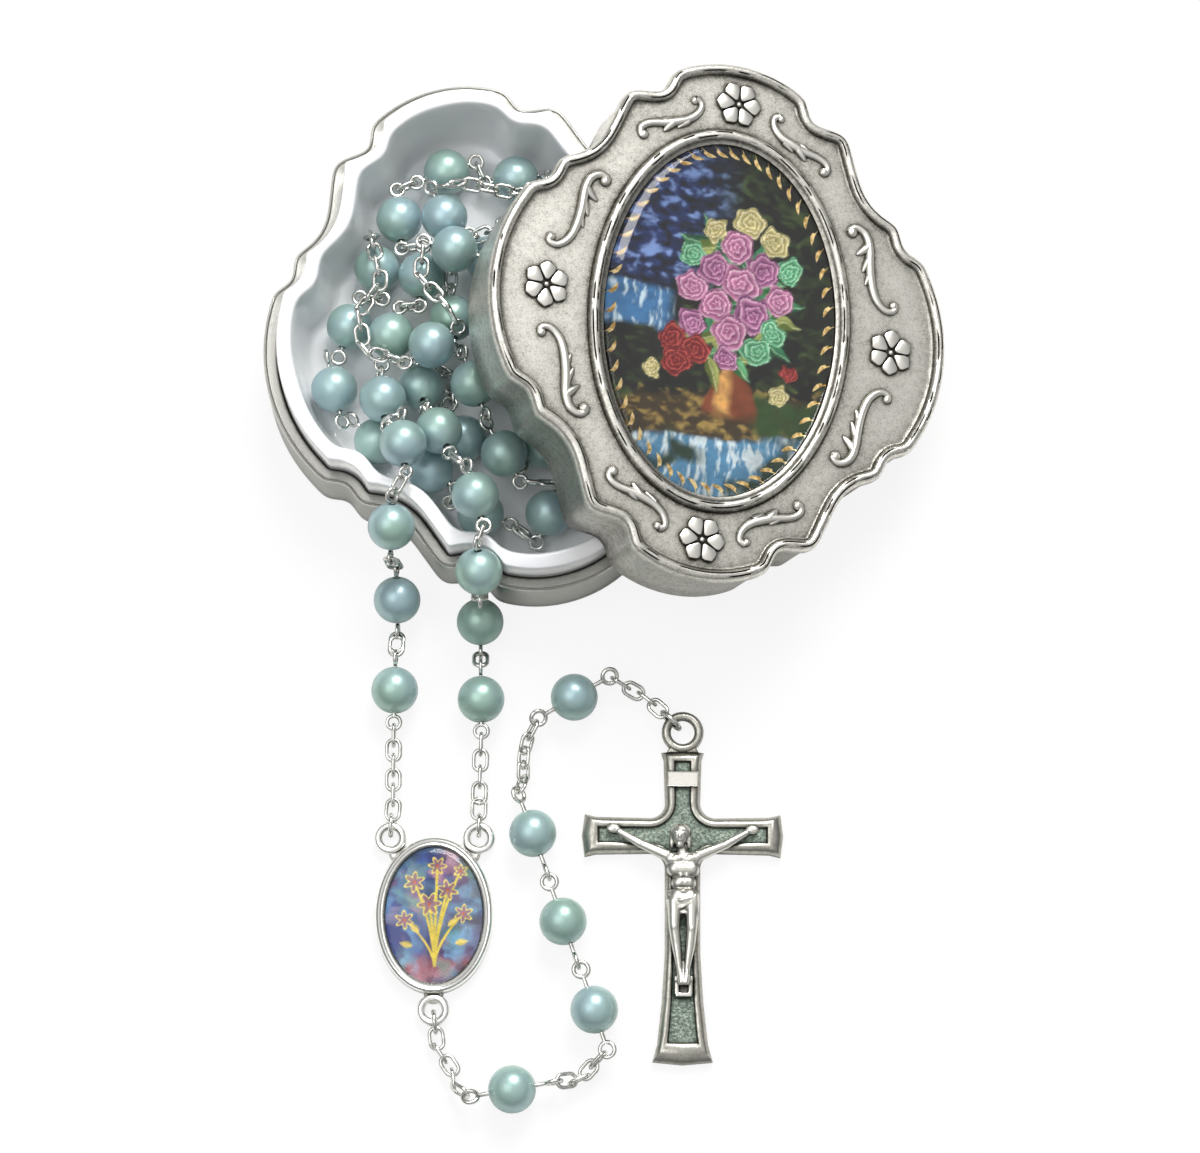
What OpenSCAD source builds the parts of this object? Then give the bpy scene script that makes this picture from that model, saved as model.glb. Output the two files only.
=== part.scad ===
// Keepsake box with a scalloped outline, shown open beside its base: a metal tray shell with an
// enamelled liner, a lift-off lid with an oval domed picture, and the rosary kept in the box.
// Millimetres. The origin is the middle of the base's underside, +X runs towards the lid,
// +Y runs along the base's long side, and the base stands on z = 0.

/* [Base] */
// Height of the ledge that the lid sits on
ledge_h = 9; // [8.8:0.1:9.2]
// Width of the ledge round the liner
ledge_w = 1.9; // [1.7:0.05:2.1]
// Thickness of the metal floor
floor_t = 1.2; // [0.8:0.1:1.4]
// Height of the liner's lip above the table
lip_h = 13.6; // [13.4:0.1:13.8]
// Thickness of the liner's floor
liner_floor_t = 1.2; // [0.8:0.1:1.2]

/* [Lid] */
// Height of the lid
lid_h = 10.8; // [10.6:0.1:11]
// Height of the hollow under the lid's top
lid_hollow_h = 8.8; // [8.4:0.1:9]
// Thickness of the lid's skirt
skirt_t = 1.3; // [1:0.1:1.4]
// Half of the oval frame's width
bezel_rx = 17.7; // [17.2:0.1:18]
// Half of the oval frame's length
bezel_ry = 25.6; // [25:0.1:26]
// Width of the oval frame
bezel_w = 1.7; // [1.5:0.1:2]
// How far the lid leans back from lying level, in degrees
lid_lean = 18.53; // [18.5:0.01:18.6]

/* [Rosary] */
// Diameter of a bead
bead_d = 6; // [5.6:0.1:6]
// Diameter of the hole through a bead
bead_bore_d = 1; // [0.8:0.1:1.2]
// Diameter of the wire through a bead
wire_d = 0.5; // [0.4:0.05:0.5]
// Diameter of the wire of the two drop beads' long loops
long_wire_d = 0.56; // [0.5:0.02:0.6]
// Length of a chain link
link_l = 3.2; // [3:0.1:3.3]
// Width of a chain link
link_w = 2.2; // [2:0.1:2.2]

/* [Centre medal] */
// Half of the medal's width
medal_rx = 7.5; // [7.2:0.1:7.8]
// Half of the medal's length
medal_ry = 10; // [9.6:0.1:10.2]
// Thickness of the medal at its rim
medal_t = 2.2; // [2:0.1:2.4]

/* [Cross] */
// Distance from the eyelet's middle to the foot of the cross
cross_l = 42.5; // [42:0.1:43]
// Distance from the eyelet's middle down to the arms
cross_arm_y = 13.3; // [13:0.1:13.6]
// Distance between the ends of the arms
cross_span = 25.2; // [25:0.1:25.6]
// Thickness of the cross
cross_t = 1.9; // [1.7:0.1:2]

/* [Hidden] */

$fn = 48;
cast_silver = "#b9b6ae";
enamel = "#eeece8";
silver = "#c9c9cb";
pearl = "#a9b8b8";

// One quarter of the base's outline: corner x, corner y, corner radius, steps round the corner
outline_quarter = [
    [4.7, 34.5, 17, 4], [9.1, 31.9, 1.2, 2], [10.1, 28.7, 1, 2], [15.1, 28.2, 2, 2],
    [18.5, 19, 7, 3], [23.1, 17.2, 1.2, 2], [24.1, 14, 1.2, 2], [26.9, 13.1, 1.2, 2],
    [30.8, 6, 23, 4]];
// One quarter of the liner's mouth, which follows the outline more softly, corner for corner
mouth_quarter = [
    [3.6, 30.4, 11, 4], [7.3, 28.4, 1.5, 2], [8.3, 25.7, 2.5, 2], [12.3, 24.7, 2, 2],
    [15, 17.6, 7, 3], [19.9, 14.9, 1.6, 2], [21.2, 11.2, 2.5, 2], [24.2, 10.2, 1.5, 2],
    [26.7, 5.4, 18, 4]];
// The liner's hollow from its lip down, as pairs of height above its floor and inset from its mouth
hollow_steps = [[10.6, 0], [5.6, 0.4], [1.8, 1], [0.5, 1.6], [0, 2.4]];

foot_chamfer = 0.4;
liner_gap = 0.05;
lip_round = 0.35;
ledge_bead_in = 0.05;
ledge_bead_w = 0.35;
ledge_bead_h = 0.35;

skirt_in = 0.45;
rim_w = 1.7;
// The rolled rim, as pairs of height and inset; each height is the start of its step
rim_steps = [[8.6, 0.15], [9, 0], [10, 0], [10.4, 0.25], [10.6, 0.6]];
rim_roll = 0.2;
field_h = 10;
pocket_h = 9.4;
card_t = 0.3;
picture_rx = 15.4;
picture_ry = 23.4;
dome_rise = 1.6;

// Where the lid rests: the middle of its top, the way it leans, and its turn on its own axis
lid_top = [27, -8.1, 19.91];
lid_lean_way = -12.5;
lid_turn = -20.5;

bead_r = bead_d / 2;
wire_r = wire_d / 2;
// From a bead's middle to the middle of its wire eye, and the eye's own radius
eye_reach = 4.15;
eye_r = 0.85;
// Eyes closer than this hook into each other, and then stand this far apart
direct_gap = 2.1;
hook_overlap = 1.1;
long_eye_reach = 5.3;
long_wire_r = long_wire_d / 2;
long_eye_r = 0.95;
link_wire_r = 0.25;
link_bend_r = link_w / 2 - link_wire_r;
link_straight = link_l - link_w;
// From the wire that a link hooks on to the link's middle, and from one link to the next
hook_gap = 0.8;
link_pitch = 2.15;

// Beads of the loop in order, ten to a decade with a single bead after each of the first four:
// the middle of each bead, and where it has its own direction, the pin's turn and rise in degrees
decade_1 = [
    [-24.7, -40.4, 3], [-21.5, -29.4, 4.6], [-20, -22.1, 13.6], [-15.9, -12.4, 15.2],
    [-16.8, -4.6, 9.9], [-13.6, 3.9, 8], [-7.8, 10.8, 7.7], [-8.6, 19.2, 7, 80, -5],
    [-1, 24.2, 6], [7.5, 21, 6, -10, 10]];
decade_2 = [
    [13, 14.2, 5.6, -45, 0], [19.4, 8, 5.6], [22, -0.3, 5.6], [18.7, -8.5, 5.6],
    [11.6, -13.2, 5.6, 90, 0], [13.4, -4.6, 5.6], [13.8, 4.4, 5.6], [7.4, 10.2, 5.6, -100, 0],
    [7.2, 1, 5.6], [7.1, -7.8, 5.6]];
decade_3 = [
    [14.8, -11, 12, 60, 0], [18.4, -3, 12], [17.6, 5.6, 12], [11.5, 12, 12],
    [9.5, 3.2, 12], [9.6, -5.8, 12], [6.5, -14.5, 11, 150, 0], [0.4, -8, 11.7],
    [0.2, 3, 11.8], [-3, 11.7, 12.4, 150, 0]];
decade_4 = [
    [-13, 13.8, 5.6, 265, 0], [-18.4, 7.1, 5.8], [-22.4, -0.6, 6], [-18.75, -8.6, 5.6],
    [-13.2, -14.6, 7.3], [-8.35, -21.4, 5.75], [0.1, -23.6, 5.8], [-3.6, -15.4, 9.2],
    [-5, -5.5, 9.5], [-5.3, 4.3, 7.4, 80, -12]];
decade_5 = [
    [0.6, 2.4, 5.6, -80, 0], [0.8, -6.2, 5.6], [1.8, -14.6, 5.6], [-7.9, -11.2, 5.7],
    [-11.5, -3.3, 6.4, -96, 38], [-11, -11, 11.8], [-8.85, -21.4, 15.5], [-10.8, -30.5, 13.3],
    [-11.9, -34.6, 3.2], [-14.35, -44.4, 3]];
single_beads = [
    [-3, 17.2, 9.4, 100, 12], [8.2, -20, 5.7, -45, 22], [-9, 0.42, 11.18, 200, 0],
    [1.2, 11.4, 5.7, 110, 0]];
loop_beads = concat(decade_1, [single_beads[0]], decade_2, [single_beads[1]], decade_3,
    [single_beads[2]], decade_4, [single_beads[3]], decade_5);
decade_step = 11;

// Joins that don't run straight to the next bead: bead, its end, points on the way, bead, its end
decade_detours = [
    [14, 1, [[15.8, -13.6, 7], [14, -16.4, 7.8]], 15, -1],
    [17, 1, [[11.6, 10.4, 7.6], [8.9, 13.4, 8.1]], 18, -1],
    [27, 1, [[11, -13, 11.2]], 28, -1],
    [45, 1, [[3.9, -10.6, 5.6]], 46, -1],
    [46, 1, [[-3.3, -15.3, 5]], 47, -1],
    [47, 1, [[-8, -5.5, 4.5], [-7.8, -1.5, 4]], 48, -1]];
spacer_runs = [
    [9, 1, [[11, 17.8, 9.3], [6, 17.5, 11.6], [0, 20.3, 12.2]], 10, 1],
    [10, -1, [[3.2, 13.8, 10.2]], 11, -1],
    [20, 1, [], 21, -1],
    [21, 1, [], 22, -1],
    [31, 1, [[-8.2, 9, 12.6], [-5.8, 4.4, 12.4]], 32, -1],
    [32, 1, [[-17.4, 2.3, 9.8], [-17, 7, 10.4], [-13.2, 10.6, 10], [-12.9, 14.5, 9.9],
        [-12.8, 17.5, 8.4]], 33, -1],
    [42, 1, [[-3, 13.6, 6.2]], 43, 1],
    [43, -1, [], 44, -1]];

// The medal lies flat with its long axis turned; its three lugs are told in its own frame
medal_at = [-27.1, -69.5];
medal_turn = -15;
medal_lug_r = 1.58;
medal_lug_wire_r = 0.42;
medal_lug_z = 1.2;
medal_lugs = [[-5.6, 9.9], [5.6, 9.9], [0, -12]];
medal_picture_rx = 6.15;
medal_picture_ry = 8.65;
medal_pocket_h = 1;
medal_card_t = 0.2;
medal_dome_rise = 1.5;
jump_ring_r = 1.3;
jump_wire_r = 0.28;
jump_ring_z = 1.63;

// The drop below the medal: two end beads and three beads in a row
drop_ends = [[-23.2, -93.5, 3, -5, 0], [-2.8, -47.2, 3, 16, 0]];
drop_row = [[-10.7, -86.5, 3, 93, 0], [-11.6, -74.7, 3, 94, 0], [-12.4, -62.85, 3, 95, 0]];
drop_upper_way = [[-30.9, -86.2, 1.3], [-29.8, -88.8, 1.3], [-30.1, -91.2, 1.8]];
drop_corner_way = [[-14.6, -94.3, 1.6]];
drop_turn_way = [[-11.7, -55.4, 1.6], [-10.9, -52.6, 1.6], [-9.8, -50.6, 2.2]];
drop_lower_way = [[4.3, -47.6, 1.8], [6.2, -49.4, 1.4]];

// The cross lies flat; its own frame has the eyelet's middle at the origin and its foot towards -Y
eyelet_at = [9.5, -54.9, 1.3];
cross_turn = -15.3;
eyelet_r = 2.1;
eyelet_wire_r = 0.6;
cross_ring_r = 1.5;
cross_ring_wire_r = 0.3;
cross_ring_z = 1.85;
cross_stem_w = 4.5;
cross_arm_end_w = 5.1;
cross_foot_w = 7.3;
cross_top_y = 2.5;
cross_border_w = 0.9;
cross_recess_d = 0.5;

// The figure on the cross, told in the cross's own frame
corpus_z = 2.1;
corpus_hands = [[-8.1, -12.8, 1.95], [8.1, -12.9, 1.95]];
corpus_shoulders = [[-2, -15.6, corpus_z + 0.2], [2, -15.6, corpus_z + 0.2]];
corpus_head = [-0.2, -13.3, corpus_z + 0.7];
corpus_hips = [0.2, -21, corpus_z + 0.3];
corpus_knees = [[-0.7, -25.8, corpus_z + 0.5], [0.9, -25.8, corpus_z + 0.5]];
corpus_feet = [0.1, -31.4, corpus_z];
corpus_head_r = 1.15;
foot_rest = [2.2, 2.4, 0.9];
foot_rest_y = -33.9;
title_plate = [3.9, 1.9, 0.35];
title_plate_y = -7.1;

// ---- Plain geometry ----

function unit(v) = v / norm(v);
function spread(turn, rise) = [cos(rise) * cos(turn), cos(rise) * sin(turn), sin(rise)];
function place(p) = [p.x, p.y, p.z];

// Quarter outline mirrored into the whole, clockwise from the top
function whole(q) = let (n = len(q)) concat(
    q,
    [for (i = [n - 1 : -1 : 0]) [q[i].x, -q[i].y, q[i][2], q[i][3]]],
    [for (i = [0 : n - 1]) [-q[i].x, -q[i].y, q[i][2], q[i][3]]],
    [for (i = [n - 1 : -1 : 0]) [-q[i].x, q[i].y, q[i][2], q[i][3]]]);

// Corners moved in by d along their mitres, with their radii adjusted
function inset(c, d) = [for (i = [0 : len(c) - 1])
    let (
        n = len(c),
        here = [c[i].x, c[i].y],
        u = unit(here - [c[(i + n - 1) % n].x, c[(i + n - 1) % n].y]),
        v = unit([c[(i + 1) % n].x, c[(i + 1) % n].y] - here),
        m = [u.y, -u.x] + [v.y, -v.x],
        convex = u.x * v.y - u.y * v.x < 0,
        moved = here + d * m / (m * [u.y, -u.x]))
    [moved.x, moved.y, max(c[i][2] + (convex ? -d : d), 0.25), c[i][3]]];

// Corners rounded with arcs
function rounded(c) = [for (i = [0 : len(c) - 1])
    let (
        n = len(c),
        here = [c[i].x, c[i].y],
        u = unit(here - [c[(i + n - 1) % n].x, c[(i + n - 1) % n].y]),
        v = unit([c[(i + 1) % n].x, c[(i + 1) % n].y] - here),
        bend = atan2(u.x * v.y - u.y * v.x, u * v),
        r = c[i][2],
        start = here - u * r * tan(abs(bend) / 2),
        middle = start + [-u.y, u.x] * r * sign(bend),
        arm = start - middle)
    for (k = [0 : c[i][3]])
        let (a = bend * k / c[i][3])
        middle + [arm.x * cos(a) - arm.y * sin(a), arm.x * sin(a) + arm.y * cos(a)]];

function backwards(l) = [for (i = [len(l) - 1 : -1 : 0]) l[i]];
function outline(d) = backwards(rounded(inset(whole(outline_quarter), d)));
function mouth(d) = backwards(rounded(inset(whole(mouth_quarter), d)));
function oval(rx, ry, steps = 72) = [for (i = [0 : steps - 1])
    [rx * cos(i * 360 / steps), ry * sin(i * 360 / steps)]];
function at_height(ring, z) = [for (p = ring) [p.x, p.y, z]];
// An oval with one point for each point of the outline
function oval_like(ring, rx, ry) = [for (p = ring)
    let (a = atan2(p.y / ry, p.x / rx)) [rx * cos(a), ry * sin(a)]];

// A closed solid whose skin runs through rings of equal length and is capped at both ends.
// The rings are anticlockwise and go up the outside and down the inside of a hollow.
module loft(rings) {
    n = len(rings[0]);
    last = len(rings) - 1;
    points = [for (ring = rings) for (p = ring) p];
    sides = [for (k = [0 : last - 1]) for (i = [0 : n - 1])
        let (j = (i + 1) % n)
        each [[k * n + i, (k + 1) * n + i, (k + 1) * n + j],
            [k * n + i, (k + 1) * n + j, k * n + j]]];
    caps = [[for (i = [0 : n - 1]) i], [for (i = [n - 1 : -1 : 0]) last * n + i]];
    polyhedron(points, concat(sides, caps));
}

module oval_slab(rx, ry, z0, z1) {
    translate([0, 0, z0])
        linear_extrude(z1 - z0)
            polygon(oval(rx, ry));
}

// A low dome on an oval edge
module oval_dome(rx, ry, z0, edge_h, rise, steps = 6) {
    ring_n = 56;
    edge = [for (p = oval(rx, ry, ring_n)) [p.x, p.y, z0]];
    crown = [for (k = [0 : steps - 1])
        let (a = 84 * k / (steps - 1))
        [for (p = oval(rx, ry, ring_n))
            [p.x * cos(a), p.y * cos(a), z0 + edge_h + (rise - edge_h) * sin(a) / sin(84)]]];
    loft([for (ring = concat([edge], crown)) ring]);
}

module ring(r, wire, fn = 32) {
    rotate_extrude($fn = fn)
        translate([r, 0])
            circle(wire, $fn = 16);
}

// ---- Directions along the rosary ----

// Turns what points up towards v, rolled about it
module towards(v, roll = 0) {
    rotate([0, acos(v.z / norm(v)), atan2(v.y, v.x)])
        rotate([0, 0, roll])
            children();
}

// The two sideways directions of the frame that towards() makes
function side_x(v) = let (t = atan2(v.y, v.x), h = norm([v.x, v.y]))
    [v.z * cos(t), v.z * sin(t), -h] / norm(v);
function side_y(v) = let (t = atan2(v.y, v.x)) [-sin(t), cos(t), 0];
function roll_to(v, w) = atan2(w * side_y(v), w * side_x(v));

function pin_way(i) = let (b = loop_beads[i], last = len(loop_beads) - 1)
    len(b) > 3 ? spread(b[3], b[4])
    : unit(place(loop_beads[min(i + 1, last)]) - place(loop_beads[max(i - 1, 0)]));
function near_eye(i, end) = place(loop_beads[i]) + pin_way(i) * end * eye_reach;
function near_gap(i) = norm(near_eye(i, 1) - near_eye(i + 1, -1));

// Neighbouring eyes hook straight into each other where they can, each reaching out to the other
function hooks_direct(i) = i >= 0 && i % decade_step < 9 && near_gap(i) < direct_gap;
function reach(i, end) = let (k = end > 0 ? i : i - 1)
    hooks_direct(k) ? eye_reach + max(0, (near_gap(k) - hook_overlap) / 2) : eye_reach;
function eye(i, end) = place(loop_beads[i]) + pin_way(i) * end * reach(i, end);

// Points of a run, from the middle of one eye to the middle of the other
function run_points(r) = concat([eye(r[0], r[1])], r[2], [eye(r[3], r[4])]);
function straight_run(i) = [i, 1, [], i + 1, -1];
function detour(i) = let (found = [for (r = decade_detours) if (r[0] == i) r])
    len(found) > 0 ? found[0] : straight_run(i);

// First two points of the way out of an eye
function inner_out(i, end) = end > 0 ? run_points(detour(i))
    : let (p = run_points(detour(i - 1))) [p[len(p) - 1], p[len(p) - 2]];
function way_out(i, end) = let (
    starts = [for (r = spacer_runs) if (r[0] == i && r[1] == end) run_points(r)],
    ends = [for (r = spacer_runs) if (r[3] == i && r[4] == end)
        let (p = run_points(r)) [p[len(p) - 1], p[len(p) - 2]]],
    leads = [for (r = lead_runs) if (r[0] == i && r[1] == end) [eye(i, end), r[3]]],
    ready = concat(starts, ends, leads))
    len(ready) > 0 ? ready[0] : inner_out(i, end);
function out_way(i, end) = let (p = way_out(i, end)) unit(p[1] - p[0]);

// The direction that an eye's flat ring opens towards, square to its pin
function eye_side(i, end) = let (
    way = pin_way(i),
    out = out_way(i, end),
    across = out - way * (out * way),
    plain = norm(across) < 0.15 ? side_y(way) : unit(across))
    end < 0 && i > 0 && hooks_direct(i - 1) ? unit(cross(way, eye_side(i - 1, 1))) : plain;
function eye_normal(i, end) = unit(cross(pin_way(i), eye_side(i, end)));

// ---- Chain ----

function lengths(p) = [for (i = [1 : len(p) - 1]) norm(p[i] - p[i - 1])];
function total(a, i = 0) = i < len(a) ? a[i] + total(a, i + 1) : 0;
function along(p, s, i = 0) = let (l = norm(p[i + 1] - p[i]))
    s <= l || i == len(p) - 2 ? p[i] + (p[i + 1] - p[i]) * s / l : along(p, s - l, i + 1);

// One oval link of round wire, long way up, wide way along x
module link() {
    for (end = [-1, 1])
        translate([0, 0, end * link_straight / 2])
            rotate([end * 90, 0, 0])
                rotate_extrude(angle = 180, $fn = 24)
                    translate([link_bend_r, 0])
                        circle(link_wire_r, $fn = 14);
    for (side = [-1, 1])
        translate([side * link_bend_r, 0, -link_straight / 2])
            cylinder(h = link_straight, r = link_wire_r, $fn = 14);
}

// Links between two hooked wires; the first and last open square to what they hook on
module chain(p, first_side, last_side) {
    l = total(lengths(p));
    count = max(1, ceil((l - 2 * hook_gap) / link_pitch) + 1);
    pitch = count > 1 ? (l - 2 * hook_gap) / (count - 1) : 0;
    for (k = [0 : count - 1]) {
        s = count > 1 ? hook_gap + k * pitch : l / 2;
        way = unit(along(p, s + 0.6) - along(p, s - 0.6));
        side = k == 0 ? roll_to(way, first_side)
            : k == count - 1 ? roll_to(way, last_side)
            : roll_to(way, first_side) + 90 * k;
        translate(along(p, s))
            towards(way, side)
                link();
    }
}

// Moves the two ends of a run from the eyes' middles to their wires
function hooked(p, start_r, end_r) = let (n = len(p)) [for (i = [0 : n - 1])
    i == 0 ? p[0] + unit(p[1] - p[0]) * start_r
    : i == n - 1 ? p[i] + unit(p[i - 1] - p[i]) * end_r
    : p[i]];

// ---- Base ----

module base_shell() color(cast_silver) {
    bead_out = ledge_bead_in + 0.1;
    bead_in = ledge_bead_in + ledge_bead_w;
    bead_top = ledge_h + ledge_bead_h;
    loft([
        at_height(outline(foot_chamfer), 0),
        at_height(outline(0), foot_chamfer),
        at_height(outline(0), bead_top - 0.1),
        at_height(outline(bead_out), bead_top),
        at_height(outline(bead_in - 0.05), bead_top),
        at_height(outline(bead_in), ledge_h),
        at_height(outline(ledge_w), ledge_h),
        at_height(outline(ledge_w), floor_t)]);
}

module base_liner() color(enamel) {
    outer = ledge_w + liner_gap;
    floor_top = floor_t + liner_floor_t;
    loft(concat([
        at_height(outline(outer), floor_t),
        at_height(outline(outer), lip_h - lip_round),
        at_height(outline(outer + lip_round * 0.3), lip_h - lip_round * 0.3),
        at_height(outline(outer + lip_round), lip_h),
        at_height(mouth(-0.5), lip_h),
        at_height(mouth(-0.15), lip_h - 0.15)],
        [for (s = hollow_steps) at_height(mouth(s[1]), floor_top + s[0])]));
}

// ---- Lid ----

// Puts the lid, told with its underside on z = 0, where it rests against the base
module lid_at_rest() {
    translate(lid_top)
        rotate(a = lid_lean, v = [-sin(lid_lean_way), cos(lid_lean_way), 0])
            rotate([0, 0, lid_turn])
                translate([0, 0, -lid_h])
                    children();
}

module lid_shell() color(cast_silver)
    lid_at_rest() {
        inner = outline(skirt_in + skirt_t);
        well = outline(rim_w);
        loft(concat(
            [at_height(inner, lid_hollow_h), at_height(inner, 0)],
            [at_height(outline(skirt_in), 0), at_height(outline(skirt_in), rim_steps[0][0])],
            [for (s = rim_steps) at_height(outline(s[1]), s[0] + rim_roll)],
            [at_height(outline(rim_w - 0.5), lid_h), at_height(well, field_h)],
            [at_height(oval_like(well, bezel_rx, bezel_ry), field_h)],
            [at_height(oval_like(well, bezel_rx - 0.3, bezel_ry - 0.3), lid_h)],
            [at_height(oval_like(well, bezel_rx - bezel_w, bezel_ry - bezel_w), lid_h)],
            [for (z = [lid_h - 0.5, pocket_h])
                at_height(oval_like(well, picture_rx + 0.1, picture_ry + 0.1), z)]));
    }

module lid_picture() color("#4a4660")
    lid_at_rest()
        oval_slab(picture_rx, picture_ry, pocket_h, pocket_h + card_t);

module lid_dome() color("#dfe6ee")
    lid_at_rest()
        oval_dome(picture_rx, picture_ry, pocket_h + card_t, 0.5, dome_rise);

// ---- Rosary loop ----

module bead(b, way) color(pearl)
    translate(place(b))
        towards(way)
            difference() {
                sphere(bead_r);
                cylinder(h = bead_d + 1, d = bead_bore_d, center = true, $fn = 24);
            }

// A straight wire with an eye at each end; reaches and sides are told for its + and - ends
module pin(b, way, reaches, r, wire, sides) color(silver)
    translate(place(b)) {
        towards(way)
            translate([0, 0, r - reaches[1]])
                cylinder(h = reaches[0] + reaches[1] - 2 * r, r = wire, $fn = 16);
        for (k = [0, 1])
            towards(way, roll_to(way, sides[k]))
                translate([0, 0, k == 0 ? reaches[0] : -reaches[1]])
                    rotate([90, 0, 0])
                        ring(r, wire);
    }

module loop_pin(i)
    pin(loop_beads[i], pin_way(i), [reach(i, 1), reach(i, -1)], eye_r, wire_r,
        [eye_side(i, 1), eye_side(i, -1)]);

module run_chain(r) color(silver)
    chain(hooked(run_points(r), eye_r, eye_r), eye_normal(r[0], r[1]), eye_normal(r[3], r[4]));

module decade_beads(d)
    for (i = [d * decade_step : d * decade_step + 9])
        bead(loop_beads[i], pin_way(i));

module decade_pins(d) {
    first = d * decade_step;
    for (i = [first : first + 9])
        loop_pin(i);
    for (i = [first : first + 8])
        if (!hooks_direct(i))
            run_chain(detour(i));
}

module decade_1_beads() decade_beads(0);
module decade_2_beads() decade_beads(1);
module decade_3_beads() decade_beads(2);
module decade_4_beads() decade_beads(3);
module decade_5_beads() decade_beads(4);
module decade_1_pins() decade_pins(0);
module decade_2_pins() decade_pins(1);
module decade_3_pins() decade_pins(2);
module decade_4_pins() decade_pins(3);
module decade_5_pins() decade_pins(4);

module our_father_beads()
    for (k = [1 : 4])
        bead(loop_beads[k * decade_step - 1], pin_way(k * decade_step - 1));

module our_father_pins()
    for (k = [1 : 4])
        loop_pin(k * decade_step - 1);

module spacer_chains()
    for (r = spacer_runs)
        run_chain(r);

// ---- Medal ----

function medal_point(p, z) = [
    medal_at.x + p.x * cos(medal_turn) - p.y * sin(medal_turn),
    medal_at.y + p.x * sin(medal_turn) + p.y * cos(medal_turn), z];

// A jump ring stands upright through a lug, opening along a level direction
function ring_middle(lug, way, lug_r, z) = [lug.x + way.x * lug_r, lug.y + way.y * lug_r, z];
function level(v) = unit([v.x, v.y, 0]);

module jump_ring(at, way, r, wire) color(silver)
    translate(at)
        rotate([0, 0, atan2(way.y, way.x)])
            rotate([90, 0, 0])
                ring(r, wire);

// The loop's two ends: bead, its end, the lug that it hangs from, and a point on the way there
lead_runs = [
    [0, -1, 0, medal_point([-5.3, 13], jump_ring_z)],
    [53, 1, 1, medal_point([5.6, 13], jump_ring_z)]];

module lead_chain(r) color(silver) {
    lug = medal_point(medal_lugs[r[2]], medal_lug_z);
    from = eye(r[0], r[1]);
    way = level(from - lug);
    middle = ring_middle(lug, way, medal_lug_r, jump_ring_z);
    jump_ring(middle, way, jump_ring_r, jump_wire_r);
    line = [from + out_way(r[0], r[1]) * eye_r, r[3], middle + way * jump_ring_r];
    chain(line, eye_normal(r[0], r[1]), [-way.y, way.x, 0]);
}

module left_chain() lead_chain(lead_runs[0]);
module right_chain() lead_chain(lead_runs[1]);

module medal_frame() color(silver)
    translate([medal_at.x, medal_at.y, 0])
        rotate([0, 0, medal_turn]) {
            difference() {
                oval_slab(medal_rx, medal_ry, 0, medal_t);
                oval_slab(medal_picture_rx + 0.05, medal_picture_ry + 0.05, medal_pocket_h,
                    medal_t + 1);
            }
            for (lug = medal_lugs) {
                translate([lug.x, lug.y, medal_lug_z])
                    ring(medal_lug_r, medal_lug_wire_r);
                reach = norm(lug);
                translate([lug.x, lug.y, medal_lug_z] * (1 - 2.2 / reach)
                    + [0, 0, medal_lug_z * 2.2 / reach - 0.5])
                    cylinder(h = 1, r = 1, $fn = 24);
            }
        }

module medal_picture() color("#3b4a86")
    translate([medal_at.x, medal_at.y, 0])
        rotate([0, 0, medal_turn])
            oval_slab(medal_picture_rx, medal_picture_ry, medal_pocket_h,
                medal_pocket_h + medal_card_t);

module medal_dome() color("#dfe6ee")
    translate([medal_at.x, medal_at.y, 0])
        rotate([0, 0, medal_turn])
            oval_dome(medal_picture_rx, medal_picture_ry, medal_pocket_h + medal_card_t, 0.6,
                medal_dome_rise);

// ---- Drop ----

function drop_way(b) = spread(b[3], b[4]);
function drop_eye(b, end) = place(b) + drop_way(b) * end * long_eye_reach;

module drop_end_beads()
    for (b = drop_ends)
        bead(b, drop_way(b));

module drop_hail_mary_beads()
    for (b = drop_row)
        bead(b, drop_way(b));

// The side that a drop bead's loop opens towards so that a chain runs out of it to a point
function drop_side(b, end, to) = let (
    way = drop_way(b),
    out = unit(to - drop_eye(b, end)),
    across = out - way * (out * way))
    norm(across) < 0.15 ? side_y(way) : unit(across);
function drop_normal(b, end, to) = unit(cross(drop_way(b), drop_side(b, end, to)));

module drop_pin(b, side_plus, side_minus)
    pin(b, drop_way(b), [long_eye_reach, long_eye_reach], long_eye_r, long_wire_r,
        [side_plus, side_minus]);

// Where loops hook straight into each other, one lies flat and the other stands upright
module drop_pins() {
    last = len(drop_turn_way) - 1;
    up = [0, 0, 1];
    flat = side_y(drop_way(drop_row[0]));
    drop_pin(drop_ends[0], drop_side(drop_ends[0], 1, drop_corner_way[0]),
        drop_side(drop_ends[0], -1, drop_upper_way[2]));
    drop_pin(drop_row[0], flat, drop_side(drop_row[0], -1, drop_corner_way[0]));
    drop_pin(drop_row[1], flat, up);
    drop_pin(drop_row[2], drop_side(drop_row[2], 1, drop_turn_way[0]), up);
    drop_pin(drop_ends[1], drop_side(drop_ends[1], 1, drop_lower_way[0]),
        drop_side(drop_ends[1], -1, drop_turn_way[last]));
}

// Links from one drop bead's loop to another's
module drop_run(a, a_end, way, b, b_end) color(silver) {
    line = concat([drop_eye(a, a_end)], way, [drop_eye(b, b_end)]);
    chain(hooked(line, long_eye_r, long_eye_r), drop_normal(a, a_end, way[0]),
        drop_normal(b, b_end, way[len(way) - 1]));
}

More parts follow.
